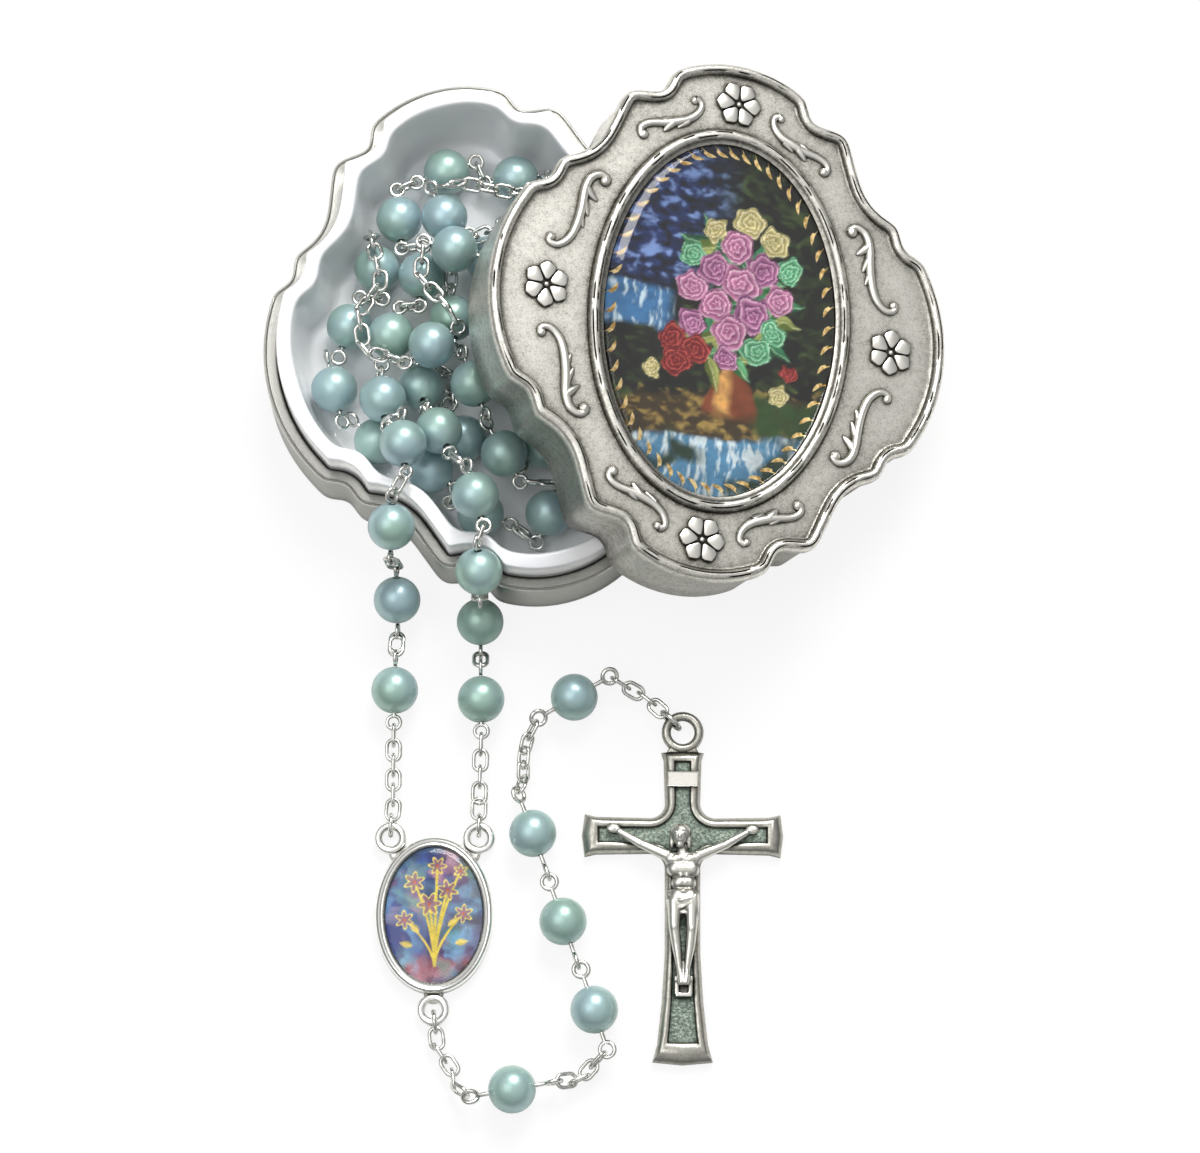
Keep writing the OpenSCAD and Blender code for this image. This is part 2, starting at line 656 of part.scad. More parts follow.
module drop_upper_chain() color(silver) {
    lug = medal_point(medal_lugs[2], medal_lug_z);
    way = level(drop_upper_way[0] - lug);
    middle = ring_middle(lug, way, medal_lug_r, jump_ring_z);
    jump_ring(middle, way, jump_ring_r, jump_wire_r);
    end = drop_eye(drop_ends[0], -1);
    line = concat([middle + way * jump_ring_r], drop_upper_way,
        [end + unit(drop_upper_way[2] - end) * long_eye_r]);
    chain(line, [-way.y, way.x, 0], drop_normal(drop_ends[0], -1, drop_upper_way[2]));
    drop_run(drop_ends[0], 1, drop_corner_way, drop_row[0], -1);
}

module drop_lower_chain() color(silver) {
    drop_run(drop_row[2], 1, drop_turn_way, drop_ends[1], -1);
    way = level(drop_lower_way[1] - eyelet_at);
    middle = ring_middle(eyelet_at, way, eyelet_r, cross_ring_z);
    jump_ring(middle, way, cross_ring_r, cross_ring_wire_r);
    start = drop_eye(drop_ends[1], 1);
    line = concat([start + unit(drop_lower_way[0] - start) * long_eye_r], drop_lower_way,
        [middle + way * cross_ring_r]);
    chain(line, drop_normal(drop_ends[1], 1, drop_lower_way[0]), [-way.y, way.x, 0]);
}

// ---- Cross ----

module on_cross() {
    translate([eyelet_at.x, eyelet_at.y, 0])
        rotate([0, 0, cross_turn])
            children();
}

// Half of the cross's outline from its top down its right side, moved in by d
function cross_half(d) = let (
    stem = cross_stem_w / 2 - d,
    arm = cross_arm_end_w / 2 - d,
    arm_x = cross_span / 2 - d,
    corner = 1.9,
    root_x = stem + corner)
    concat(
        [[cross_arm_end_w / 2 - d, -cross_top_y - d]],
        [for (k = [0 : 4]) let (a = 180 + 22.5 * k)
            [root_x + corner * cos(a), -cross_arm_y + stem + corner + corner * sin(a)]],
        [[arm_x, -cross_arm_y + arm], [arm_x, -cross_arm_y - arm]],
        [for (k = [0 : 4]) let (a = 90 + 22.5 * k)
            [root_x + corner * cos(a), -cross_arm_y - stem - corner + corner * sin(a)]],
        [[stem, -cross_l + 12], [cross_foot_w / 2 - d, -cross_l + d]]);
function cross_outline(d) = let (h = cross_half(d), n = len(h))
    concat(h, [for (i = [n - 1 : -1 : 0]) [-h[i].x, h[i].y]]);

module crucifix_cross() color(silver)
    on_cross() {
        difference() {
            linear_extrude(cross_t)
                polygon(cross_outline(0));
            translate([0, 0, cross_t - cross_recess_d])
                linear_extrude(1)
                    polygon(cross_outline(cross_border_w));
        }
        translate([0, 0, eyelet_at.z])
            ring(eyelet_r, eyelet_wire_r);
    }

// A limb with round ends between two points
module limb(a, b, r)
    hull()
        for (p = [a, b])
            translate(p)
                sphere(r, $fn = 10);

module crucifix_corpus() color(silver)
    on_cross() {
        translate(corpus_head)
            sphere(corpus_head_r, $fn = 12);
        limb(corpus_head + [0, -0.8, -0.3], [0, -16, corpus_z + 0.2], 0.7);
        for (s = [0, 1]) {
            limb(corpus_shoulders[s], corpus_hands[s], 0.55);
            limb(corpus_shoulders[s], corpus_hips, 0.95);
            limb(corpus_hips, corpus_knees[s], 0.9);
            limb(corpus_knees[s], corpus_feet, 0.6);
        }
        translate([-foot_rest.x / 2, foot_rest_y, cross_t - cross_recess_d])
            cube(foot_rest);
    }

module crucifix_title_plate() color(silver)
    on_cross()
        translate([-title_plate.x / 2, title_plate_y, cross_t])
            cube(title_plate);

base_shell();
base_liner();
lid_shell();
lid_picture();
lid_dome();
decade_1_beads();
decade_1_pins();
decade_2_beads();
decade_2_pins();
decade_3_beads();
decade_3_pins();
decade_4_beads();
decade_4_pins();
decade_5_beads();
decade_5_pins();
our_father_beads();
our_father_pins();
spacer_chains();
left_chain();
right_chain();
medal_frame();
medal_picture();
medal_dome();
drop_end_beads();
drop_hail_mary_beads();
drop_pins();
drop_upper_chain();
drop_lower_chain();
crucifix_cross();
crucifix_corpus();
crucifix_title_plate();
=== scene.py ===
import math
import bmesh
import bpy
import numpy as np
from mathutils import Matrix, Vector


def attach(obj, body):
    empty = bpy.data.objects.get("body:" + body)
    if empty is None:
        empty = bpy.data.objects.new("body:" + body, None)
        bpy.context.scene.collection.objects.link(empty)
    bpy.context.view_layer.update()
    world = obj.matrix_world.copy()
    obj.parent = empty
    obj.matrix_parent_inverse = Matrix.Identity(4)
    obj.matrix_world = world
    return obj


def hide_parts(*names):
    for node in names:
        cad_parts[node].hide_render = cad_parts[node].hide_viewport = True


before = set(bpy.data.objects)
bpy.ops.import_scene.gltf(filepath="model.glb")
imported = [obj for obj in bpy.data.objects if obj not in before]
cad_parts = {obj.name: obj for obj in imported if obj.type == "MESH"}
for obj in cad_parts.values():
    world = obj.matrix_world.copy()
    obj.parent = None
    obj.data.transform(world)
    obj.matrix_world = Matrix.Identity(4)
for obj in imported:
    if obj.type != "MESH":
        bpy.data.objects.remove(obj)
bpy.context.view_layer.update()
scene = bpy.context.scene
scene.view_settings.view_transform = "Standard"

# ---- Camera ----
# The photograph is taken from half a metre above the box, a little towards its front, with a
# long lens. Its place and turn come from the base's outline, the lid and the beads.
camera_data = bpy.data.cameras.new("photo_camera")
camera_data.sensor_fit = "HORIZONTAL"
camera_data.sensor_width = 36
camera_data.lens = 126
camera_data.clip_start = 0.01
camera_data.clip_end = 20
camera = bpy.data.objects.new("photo_camera", camera_data)
camera.location = (-0.03163, -0.15227, 0.52820)
camera.rotation_euler = [math.radians(a) for a in (13.3665, -0.4234, -15.0377)]
scene.collection.objects.link(camera)
scene.camera = camera

# ---- Table and light ----
# A white sheet that the box stands on, under two wide soft lamps in a pale room. The camera
# sees the sheet as white, and the sheet keeps the object's soft shadow.


def linear(code):
    """An sRGB hex colour as linear red, green, blue and alpha."""
    parts = [int(code[i:i + 2], 16) / 255 for i in (1, 3, 5)]
    return [c / 12.92 if c <= 0.04045 else ((c + 0.055) / 1.055) ** 2.4 for c in parts] + [1.0]


def add(tree, kind, settings=None, stops=None, **inputs):
    """Adds a shader node. An input is named as its socket is, with _ for a space, or in_0, in_1
    for its number. It is a value, one output of another node, or a node for its first output.
    Stops are a ramp's (place, colour)."""
    made = tree.nodes.new("ShaderNode" + kind)
    for name, value in (settings or {}).items():
        setattr(made, name, value)
    if stops:
        marks = made.color_ramp.elements
        marks.remove(marks[1])
        marks[0].position = stops[0][0]
        marks[0].color = linear(stops[0][1])
        for at, code in stops[1:]:
            marks.new(at).color = linear(code)
    for name, value in inputs.items():
        key = int(name[3:]) if name.startswith("in_") else name.replace("_", " ")
        if isinstance(value, bpy.types.Node):
            value = value.outputs[0]
        if isinstance(value, bpy.types.NodeSocket):
            tree.links.new(value, made.inputs[key])
        else:
            made.inputs[key].default_value = value
    return made


def new_material(name):
    """An empty node material: the material and its tree."""
    made = bpy.data.materials.new(name)
    made.use_nodes = True
    made.node_tree.nodes.clear()
    return made, made.node_tree


def shown(tree, shader):
    """Makes a shader's output the material's surface."""
    add(tree, "OutputMaterial", Surface=shader)


def new_object(name, bm):
    """An object at the origin whose mesh is what the bmesh holds."""
    mesh = bpy.data.meshes.new(name)
    bm.to_mesh(mesh)
    bm.free()
    made = bpy.data.objects.new(name, mesh)
    scene.collection.objects.link(made)
    return made


sheet_half = 1.5
sheet_glow = 0.87
sheet_material, tree = new_material("white_paper_sheet")
lit_sheet = add(tree, "BsdfDiffuse", Color=linear("#f4f4f2"))
white_sheet = add(tree, "Emission", Color=linear("#ffffff"), Strength=1.0)
ray = add(tree, "LightPath")
seen = add(tree, "Math", {"operation": "MAXIMUM"}, in_0=ray.outputs["Is Camera Ray"],
           in_1=ray.outputs["Is Transmission Ray"])
share = add(tree, "Math", {"operation": "MULTIPLY"}, in_0=seen, in_1=sheet_glow)
shown(tree, add(tree, "MixShader", in_0=share, in_1=lit_sheet, in_2=white_sheet))
bm = bmesh.new()
bmesh.ops.create_grid(bm, x_segments=2, y_segments=2, size=sheet_half)
sheet = new_object("table_sheet", bm)
sheet.data.materials.append(sheet_material)

room_light = 0.55
mirror_light = 0.8
room = bpy.data.worlds.new("pale_room")
room.use_nodes = True
tree = room.node_tree
tree.nodes.clear()
way = add(tree, "TexCoord")
up = add(tree, "SeparateXYZ", Vector=way.outputs["Generated"])
wall = add(tree, "ValToRGB", stops=[(0.0, "#4e5154"), (0.3, "#8f9194"), (0.6, "#dcdddd"),
                                    (0.95, "#ffffff")], Fac=up.outputs["Z"])
ray = add(tree, "LightPath")
mirror = add(tree, "Math", {"operation": "MAXIMUM"}, in_0=ray.outputs["Is Glossy Ray"],
             in_1=ray.outputs["Is Transmission Ray"])
level = add(tree, "MapRange", Value=mirror, To_Min=room_light, To_Max=mirror_light)
plain = add(tree, "Background", Color=wall, Strength=level)
white = add(tree, "Background", Color=linear("#ffffff"), Strength=1.0)
final = add(tree, "MixShader", in_0=ray.outputs["Is Camera Ray"], in_1=plain, in_2=white)
add(tree, "OutputWorld", Surface=final)
scene.world = room

lamp_aim = Vector((0.01, -0.03, 0))
for name, place, power, side in (("key_lamp", (0.3, 0.55, 0.72), 8.8, 0.45),
                                 ("fill_lamp", (-0.35, 0.05, 0.85), 2.2, 0.6)):
    lamp_data = bpy.data.lights.new(name, "AREA")
    lamp_data.energy = power
    lamp_data.size = side
    lamp = bpy.data.objects.new(name, lamp_data)
    lamp.location = place
    lamp.rotation_euler = (lamp_aim - Vector(place)).to_track_quat("-Z", "Y").to_euler()
    scene.collection.objects.link(lamp)

# ---- Base shell ----
# The lower half of the box: a cast white-metal tray with a scalloped outline and a ledge with a
# raised bead, where the lid sits. It is silver plated and rubbed bright, darkened with tarnish in
# its hollows and with painted shade at its foot on the table and where the liner meets it.
mm = 0.001


def mirrored(quarter):
    """The corners of a quarter outline mirrored into the whole, clockwise from the top."""
    back = quarter[::-1]
    return (quarter + [(x, -y, r, k) for x, y, r, k in back]
            + [(-x, -y, r, k) for x, y, r, k in quarter]
            + [(-x, y, r, k) for x, y, r, k in back])


def softened(loop, reach, length):
    """Values round a closed loop of some length, each blended with those within its reach."""
    waves = np.fft.fftfreq(len(loop)) * len(loop)
    return np.fft.ifft(np.fft.fft(loop) * np.exp(-2 * (math.pi * waves * reach / length) ** 2))


def scallop(quarter, reach, count=480):
    """A scalloped outline as evenly spaced complex points, from its top and anticlockwise, with
    its corners rounded and then eased."""
    corners = mirrored(quarter)
    points = []
    for i, (x, y, r, k) in enumerate(corners):
        here = complex(x, y)
        u = here - complex(*corners[i - 1][:2])
        v = complex(*corners[(i + 1) % len(corners)][:2]) - here
        bend = np.angle(v / u)
        start = here - u / abs(u) * r * math.tan(abs(bend) / 2)
        middle = start + 1j * u / abs(u) * math.copysign(r, bend)
        points += list(middle + (start - middle) * np.exp(1j * bend * np.linspace(0, 1, k + 1)))
    top = (points[0] + points[-1]) / 2
    loop = np.array([top] + points[::-1] + [top])
    along = np.concatenate([[0], np.cumsum(np.abs(np.diff(loop)))])
    even = np.interp(np.linspace(0, along[-1], count, endpoint=False), along, loop)
    return softened(even, reach, along[-1])


def moved_in(loop, inward):
    """A loop moved in by one distance, or by one for each point, without folding on itself."""
    along = np.roll(loop, -1) - np.roll(loop, 1)
    least_reach = 0.15
    reach_gain = 0.45
    facing = softened(1j * along / np.abs(along),
                      least_reach + reach_gain * np.max(np.abs(inward)), np.abs(along).sum() / 2)
    return loop + inward * facing


def at_height(loop, z):
    """A loop's complex points as vectors, at one height or at one for each point."""
    return [Vector((p.real, p.imag, h)) for p, h in zip(loop, np.broadcast_to(z, len(loop)))]


def verts_in(geom):
    """The vertices in what a bmesh operator made."""
    return [g for g in geom if isinstance(g, bmesh.types.BMVert)]


def edges_between(edges, verts):
    """Those edges that have both ends among the vertices."""
    ends = set(verts)
    return [e for e in edges if e.verts[0] in ends and e.verts[1] in ends]


def grown(rings):
    """A skin that starts as one loop of vertices and is extruded through the other rings, with
    a face over its first ring and its last."""
    bm = bmesh.new()
    verts = [bm.verts.new(p) for p in rings[0]]
    loop = [bm.edges.new((verts[i - 1], verts[i])) for i in range(len(verts))]
    bmesh.ops.contextual_create(bm, geom=loop)
    for ring in rings[1:]:
        order = {v.co.to_tuple(6): i for i, v in enumerate(verts)}
        made = bmesh.ops.extrude_edge_only(bm, edges=loop)["geom"]
        fresh = verts_in(made)
        loop = edges_between([g for g in made if isinstance(g, bmesh.types.BMEdge)], fresh)
        verts = [None] * len(ring)
        for v in fresh:
            verts[order[v.co.to_tuple(6)]] = v
        for v, p in zip(verts, ring):
            v.co = p
    bmesh.ops.contextual_create(bm, geom=loop)
    bmesh.ops.recalc_face_normals(bm, faces=bm.faces)
    return bm


def fitted(name, bm, body, material, replaced=(), turn=None, sharp=38):
    """Puts a piece that was made in millimetres in its place, smooth but for its sharp edges."""
    turn = Matrix.Scale(mm, 4) @ (turn or Matrix())
    bmesh.ops.transform(bm, matrix=turn, verts=bm.verts)
    made = new_object(name, bm)
    for face in made.data.polygons:
        face.use_smooth = True
    made.data.set_sharp_from_angle(angle=math.radians(sharp))
    made.data.materials.append(material)
    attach(made, body)
    if replaced:
        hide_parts(*replaced)
    return made


def antique_silver(name, patina_and_shade_reach=1.3, stipple=0.16, worn="#dedbd3", dull="#aeaba2",
                   patina_and_shade="#3f3d36", rough=0.3, relief=0.02, dark=0.72, light=1.04,
                   uneven=0.1, gritty=0.08):
    """Antiqued silver plating: worn bright where it stands proud and a warm black where other
    surfaces close round it, which is tarnish in the piece's own hollows and painted shade where
    the table or another part comes near, with a fine cast stipple that scatters its shine. Sizes
    are in millimetres."""
    made, tree = new_material(name)
    place = add(tree, "TexCoord")
    size = add(tree, "VectorMath", {"operation": "SCALE"}, in_0=place.outputs["Object"],
               Scale=1 / mm)
    blotch = add(tree, "TexNoise", Vector=size, Scale=1.3, Detail=6.0, Roughness=0.75)
    grit = add(tree, "TexNoise", Vector=size, Scale=1 / stipple, Detail=3.0, Roughness=0.6)
    # Ambient occlusion from every surface near by darkens the colour: tarnish in the piece's own
    # hollows, and painted shade where the table or another part lies close.
    depth = add(tree, "AmbientOcclusion", {"samples": 8}, Distance=patina_and_shade_reach * mm)
    stain = add(tree, "MapRange", Value=blotch, From_Min=0.3, From_Max=0.7,
                To_Min=-uneven, To_Max=uneven)
    speckle = add(tree, "MapRange", Value=grit, From_Min=0.3, From_Max=0.7,
                  To_Min=-gritty, To_Max=gritty)
    stain_and_shade = add(tree, "Math", {"operation": "ADD"}, in_0=depth.outputs["AO"], in_1=stain)
    wear_and_shade = add(tree, "Math", {"operation": "ADD"}, in_0=stain_and_shade, in_1=speckle)
    share = add(tree, "MapRange", Value=wear_and_shade, From_Min=dark, From_Max=light)
    # The darkest stop is tarnish in the hollows and painted shade beside other parts.
    colour = add(tree, "ValToRGB", stops=[(0.0, patina_and_shade), (0.5, dull), (1.0, worn)], Fac=share)
    shine = add(tree, "MapRange", Value=share, To_Min=0.62, To_Max=rough)
    bump = add(tree, "Bump", Height=grit, Strength=1.0, Distance=relief * mm)
    shown(tree, add(tree, "BsdfPrincipled", Base_Color=colour, Metallic=1.0, Roughness=shine,
                    Normal=bump))
    return made


# A quarter of the outline, as each corner's x and y, its radius and how many steps round it
outline_quarter = [
    (4.7, 34.5, 17, 6), (9.1, 31.9, 1.2, 4), (10.1, 28.7, 1.0, 4), (15.1, 28.2, 2.0, 5),
    (18.5, 19.0, 7, 6), (23.1, 17.2, 1.2, 4), (24.1, 14.0, 1.2, 4), (26.9, 13.1, 1.2, 4),
    (30.8, 6.0, 23, 7)]
box_outline = scallop(outline_quarter, reach=0.75)
floor_z = 1.2
# The shell's skin from its foot, up the wall, over the ledge's bead and down inside, as how far
# inside the outline and how high
base_profile = [
    (0.4, 0), (0.1, 0.14), (0, 0.5), (0, 4.5), (0, 8.7), (0.03, 9.05), (0.1, 9.26),
    (0.2, 9.34), (0.32, 9.3), (0.4, 9.14), (0.46, 9.0), (0.6, 8.96), (1.55, 8.98),
    (1.75, 8.9), (1.9, 8.7), (1.9, 4), (1.9, floor_z)]
shell_silver = antique_silver("antiqued_silver_plating_wall", patina_and_shade_reach=0.7, worn="#c5c4be",
                              dull="#a3a19a", stipple=0.5, rough=0.24, relief=0.008,
                              dark=0.35, light=0.98, uneven=0.1, gritty=0.025)
base_rings = [at_height(moved_in(box_outline, d), z) for d, z in base_profile]
fitted("base_metal_shell", grown(base_rings), "root", shell_silver,
       ["base_shell"])

# ---- Tray liner ----
# A glossy white moulded tray pressed into the shell. Its lip stands proud of the ledge and
# guides the lid, and its mouth follows the outline more softly than the metal does.
liner_outside_in = 1.95
lip_z = 13.6
mouth_quarter = [
    (3.6, 30.4, 11, 6), (7.3, 28.4, 1.5, 4), (8.3, 25.7, 2.5, 4), (12.3, 24.7, 2.0, 5),
    (15.0, 17.6, 7, 6), (19.9, 14.9, 1.6, 4), (21.2, 11.2, 2.5, 4), (24.2, 10.2, 1.5, 4),
    (26.7, 5.4, 18, 7)]
mouth = scallop(mouth_quarter, reach=0.9)
# Up the liner's outside from its own outline, then over the lip and down inside from the mouth
outer_profile = [(0, floor_z), (0, 9), (0, 13.1), (0.03, 13.35), (0.1, 13.53), (0.22, lip_z)]
inner_profile = [(-0.5, lip_z), (-0.28, 13.55), (-0.12, 13.4), (0, 13.0), (0.15, 11), (0.4, 8),
                 (0.65, 6), (1.0, 4.2), (1.25, 3.4), (1.6, 2.85), (2.0, 2.5), (2.5, 2.4)]


def noise(tree, scale, detail):
    """Noise in the object's own space, with so many features to the metre."""
    place = add(tree, "TexCoord")
    return add(tree, "TexNoise", Vector=place.outputs["Object"], Scale=scale, Detail=detail)


enamel, tree = new_material("glossy_white_enamel")
waves = noise(tree, scale=90.0, detail=2.0)
tint = add(tree, "ValToRGB", stops=[(0.35, "#eeeff3"), (0.65, "#f8f8f8")], Fac=waves)
swell = add(tree, "Bump", Height=waves, Strength=0.5, Distance=0.12 * mm)
shown(tree, add(tree, "BsdfPrincipled", Base_Color=tint, Roughness=0.16, IOR=1.5,
                Coat_Weight=0.4, Coat_Roughness=0.06, Normal=swell))
liner_rings = [at_height(moved_in(box_outline, liner_outside_in + d), z)
               for d, z in outer_profile]
liner_rings += [at_height(moved_in(mouth, d), z) for d, z in inner_profile]
fitted("tray_liner", grown(liner_rings), "root", enamel, ["base_liner"])

# ---- Lid shell ----
# A cast lid of the same metal: a plain skirt that drops over the liner's lip, a rolled rim, a
# stippled field, and an oval frame. Rim and frame are chased with long uneven strokes.
# It rests with the middle of its top here, leaning this way by this much, spun on its axis
lid_h = 10.8
lid_top = (27, -8.1, 19.91)
lid_way = math.radians(-12.5)
lid_lean = math.radians(18.53)
lid_spin = math.radians(-20.5)
lid_turn = (Matrix.Translation(lid_top)
            @ Matrix.Rotation(lid_lean, 4, (-math.sin(lid_way), math.cos(lid_way), 0))
            @ Matrix.Rotation(lid_spin, 4, "Z") @ Matrix.Translation((0, 0, -lid_h)))
field_z = 10.0
picture_z = 9.4
hollow_z = 8.8
# Round the lid, as how far inside the outline, how high, and how deep a tool has cut there
skirt_profile = [
    (1.75, hollow_z, 0), (1.75, 4, 0), (1.75, 0.2, 0), (1.6, 0, 0), (0.6, 0, 0), (0.45, 0.2, 0),
    (0.45, 4, 0), (0.45, 8.3, 0), (0.4, 8.55, 0), (0.15, 8.7, 0), (0.02, 8.95, 0), (0, 9.3, 0),
    (0, 9.85, 0), (0.05, 10.15, 0), (0.14, 10.38, 0), (0.28, 10.57, 0), (0.42, 10.68, 0),
    (0.52, 10.72, 0.16), (0.62, 10.75, 0), (0.8, 10.77, 0), (0.94, 10.75, 0), (1.04, 10.72, 0.22),
    (1.14, 10.68, 0), (1.28, 10.58, 0), (1.42, 10.42, 0), (1.52, 10.24, 0), (1.6, 10.06, 0),
    (1.72, field_z, 0)]
# Round the picture, as how far inside the frame's outer oval, how high and how deep the cut
frame_rx = 17.7
frame_ry = 25.6
frame_profile = [
    (0, field_z, 0), (0.08, 10.16, 0), (0.2, 10.4, 0), (0.36, 10.58, 0), (0.5, 10.68, 0),
    (0.6, 10.72, 0.2), (0.7, 10.75, 0), (0.88, 10.77, 0), (1.02, 10.76, 0), (1.12, 10.74, 0.2),
    (1.22, 10.71, 0), (1.38, 10.62, 0), (1.52, 10.48, 0), (1.64, 10.3, 0), (2.1, 10.2, 0),
    (2.2, picture_z, 0)]


def chased(loop, z, cut, seed):
    """A ring that dips in long uneven strokes, as a chasing tool leaves them."""
    rough = np.random.default_rng(seed).random(len(loop))
    wild = softened(rough, reach=0.9, length=190).real
    strokes = np.clip((wild - wild.mean()) / wild.std() + 0.2, 0, 1.5)
    return at_height(loop, z - cut * strokes)


def oval_like(loop, rx, ry):
    """An oval with one point for each point of the loop, in nearly the same direction."""
    turns = np.unwrap(np.angle(loop.real / frame_rx + 1j * loop.imag / frame_ry))
    span = turns[0] + np.linspace(0, 2 * math.pi, len(turns), endpoint=False)
    turns = np.maximum.accumulate(turns) * 0.97 + span * 0.03
    return rx * np.cos(turns) + 1j * ry * np.sin(turns)


# The lid darkens within 2.6 mm of any surface: tarnish round the rim, the frame and the ornaments,
# and painted shade where other parts come near.
lid_silver = antique_silver("antiqued_silver_plating_cast", patina_and_shade_reach=2.6, worn="#d9d6ce",
                            dull="#8f8c83", patina_and_shade="#2f2d27", dark=0.75, light=1.02,
                            uneven=0.07, gritty=0.08, relief=0.03)
lid_rings = [chased(moved_in(box_outline, d), z, cut, int(d * 100))
             for d, z, cut in skirt_profile]
# The field between the rim and the frame
well = moved_in(box_outline, skirt_profile[-1][0])
shore_gap = 0.12
shore = oval_like(well, frame_rx + shore_gap, frame_ry + shore_gap)
lid_rings += [at_height(well + (shore - well) * share, field_z) for share in (0.04, 0.35, 0.7, 1)]
lid_rings += [chased(oval_like(well, frame_rx - d, frame_ry - d), z, cut, int(d * 100))
              for d, z, cut in frame_profile]
fitted("lid_metal_shell", grown(lid_rings), "lid", lid_silver,
       ["lid_shell"], lid_turn, sharp=50)

# ---- Lid flowers ----
# Four six-petalled flowers cast on the field, one in each lobe: low petals with a rounded point,
# darkened between them by tarnish and painted shade, and a small knob in the middle.
relief_silver = antique_silver("antiqued_silver_plating_relief", patina_and_shade_reach=0.4, worn="#e8e5dd",
                               dull="#b5b2a9", stipple=0.12, relief=0.012, dark=0.3,
                               light=0.95, uneven=0.06, gritty=0.05)
flower_places = [((0, 29.2), 0), ((0, -29.2), 0), ((23.3, 0), 90), ((-23.3, 0), 90)]
petal_half = [(0.62, 0.0), (0.74, 0.26), (1.15, 0.54), (1.7, 0.9), (2.15, 1.06), (2.5, 0.88),
              (2.78, 0.44)]
petal_tip = (3.02, 0.0)
petal_h = 0.52
petal_sunk = 0.1
knob_r = 0.34
knob_lift = 0.12


def raised_plate(bm, sides, turn, height):
    """A flat plate with the given sides, raised to its height: the vertices of its top."""
    foot = bmesh.ops.contextual_create(bm, geom=[
        bm.verts.new(turn @ Vector((x, y, 0))) for x, y in sides])["faces"]
    top = verts_in(bmesh.ops.extrude_face_region(bm, geom=foot)["geom"])
    bmesh.ops.translate(bm, verts=top, vec=(0, 0, height))
    return top


def rounded(bm, edges, offset, segments):
    """Rounds some edges by a bevel."""
    bmesh.ops.bevel(bm, geom=edges, offset=offset, offset_type="OFFSET", affect="EDGES",
                    segments=segments, profile=0.5, material=-1, clamp_overlap=True)


bm = bmesh.new()
for at, first_petal in flower_places:
    sides = petal_half + [petal_tip] + [(x, -y) for x, y in petal_half[:0:-1]]
    for k in range(6):
        turn = Matrix.Translation((*at, field_z - petal_sunk)) @ Matrix.Rotation(
            math.radians(first_petal + 60 * k), 4, "Z")
        top = raised_plate(bm, sides, turn, petal_h)
        rounded(bm, edges_between(bm.edges, top), offset=0.14, segments=2)
    bmesh.ops.create_uvsphere(bm, u_segments=14, v_segments=8, radius=knob_r,
                              matrix=Matrix.Translation((*at, field_z + knob_lift)))
bmesh.ops.recalc_face_normals(bm, faces=bm.faces)
fitted("lid_flowers", bm, "lid", relief_silver, turn=lid_turn)

# ---- Lid scrolls ----
# Eight cast scrolls that run from flower to flower, thin at one end and curled at both, with
# small leaf barbs. Each is one tapered stroke, pressed low, with its barbs laid into it.
# A stroke's points are x, y and the stroke's half width, in one quarter of the lid.
stroke_sets = [
    [(5.75, 28.75, 0.34), (5.2, 28.65, 0.3), (4.85, 28.1, 0.3), (5.2, 26.9, 0.34),
     (6.4, 25.8, 0.4), (8.0, 25.15, 0.46), (9.6, 24.65, 0.4), (11.3, 24.4, 0.36),
     (12.6, 23.75, 0.34), (13.0, 22.9, 0.32), (12.5, 22.35, 0.36)],
    [(8.6, 24.9, 0.44), (9.2, 24.2, 0.42), (9.7, 23.5, 0.12)],
    [(6.6, 25.5, 0.4), (7.3, 24.95, 0.34), (7.9, 24.35, 0.1)],
    [(9.9, 24.7, 0.36), (9.3, 25.3, 0.3), (8.8, 25.6, 0.1)],
    [(16.5, 15.1, 0.36), (16.8, 15.8, 0.34), (17.7, 16.0, 0.36), (18.9, 15.3, 0.4),
     (19.5, 13.5, 0.44), (19.6, 11.0, 0.46), (20.0, 8.8, 0.42), (20.6, 7.0, 0.38),
     (21.6, 5.8, 0.34), (22.7, 5.35, 0.32), (23.7, 5.85, 0.3), (23.4, 6.5, 0.34)],
    [(19.4, 13.8, 0.44), (18.6, 13.0, 0.42), (17.7, 12.3, 0.12)],
    [(19.5, 12.0, 0.4), (19.0, 11.0, 0.34), (18.7, 10.1, 0.1)],
    [(19.8, 10.0, 0.36), (19.4, 9.2, 0.3), (19.2, 8.4, 0.1)]]
# Round ends, as x, y and radius
curls = [(5.95, 28.5, 0.5), (12.35, 22.5, 0.62), (16.85, 15.15, 0.68), (23.3, 6.35, 0.55)]
stroke_h = 0.95
stroke_fat = 1.4
stroke_sunk = 0.02
quarters = ((1, 1), (1, -1), (-1, -1), (-1, 1))
curve = bpy.data.curves.new("scroll_strokes", "CURVE")
curve.dimensions = "3D"
curve.bevel_depth = 1.0
curve.bevel_resolution = 3
curve.use_fill_caps = True
for across, along in quarters:
    for stroke in stroke_sets:
        spline = curve.splines.new("NURBS")
        spline.points.add(len(stroke) - 1)
        spline.order_u = 3
        spline.use_endpoint_u = True
        spline.resolution_u = 5
        for point, (x, y, half) in zip(spline.points, stroke):
            point.co = (across * x, along * y, 0, 1)
            point.radius = half * stroke_fat
drawn = bpy.data.objects.new("scroll_strokes", curve)
bm = bmesh.new()
scene.collection.objects.link(drawn)
bm.from_mesh(drawn.evaluated_get(bpy.context.evaluated_depsgraph_get()).to_mesh())
bpy.data.objects.remove(drawn)
for across, along in quarters:
    for x, y, r in curls:
        bmesh.ops.create_uvsphere(bm, u_segments=16, v_segments=8, radius=r,
                                  matrix=Matrix.Translation((across * x, along * y, 0)))
bmesh.ops.scale(bm, verts=bm.verts, vec=(1, 1, stroke_h))
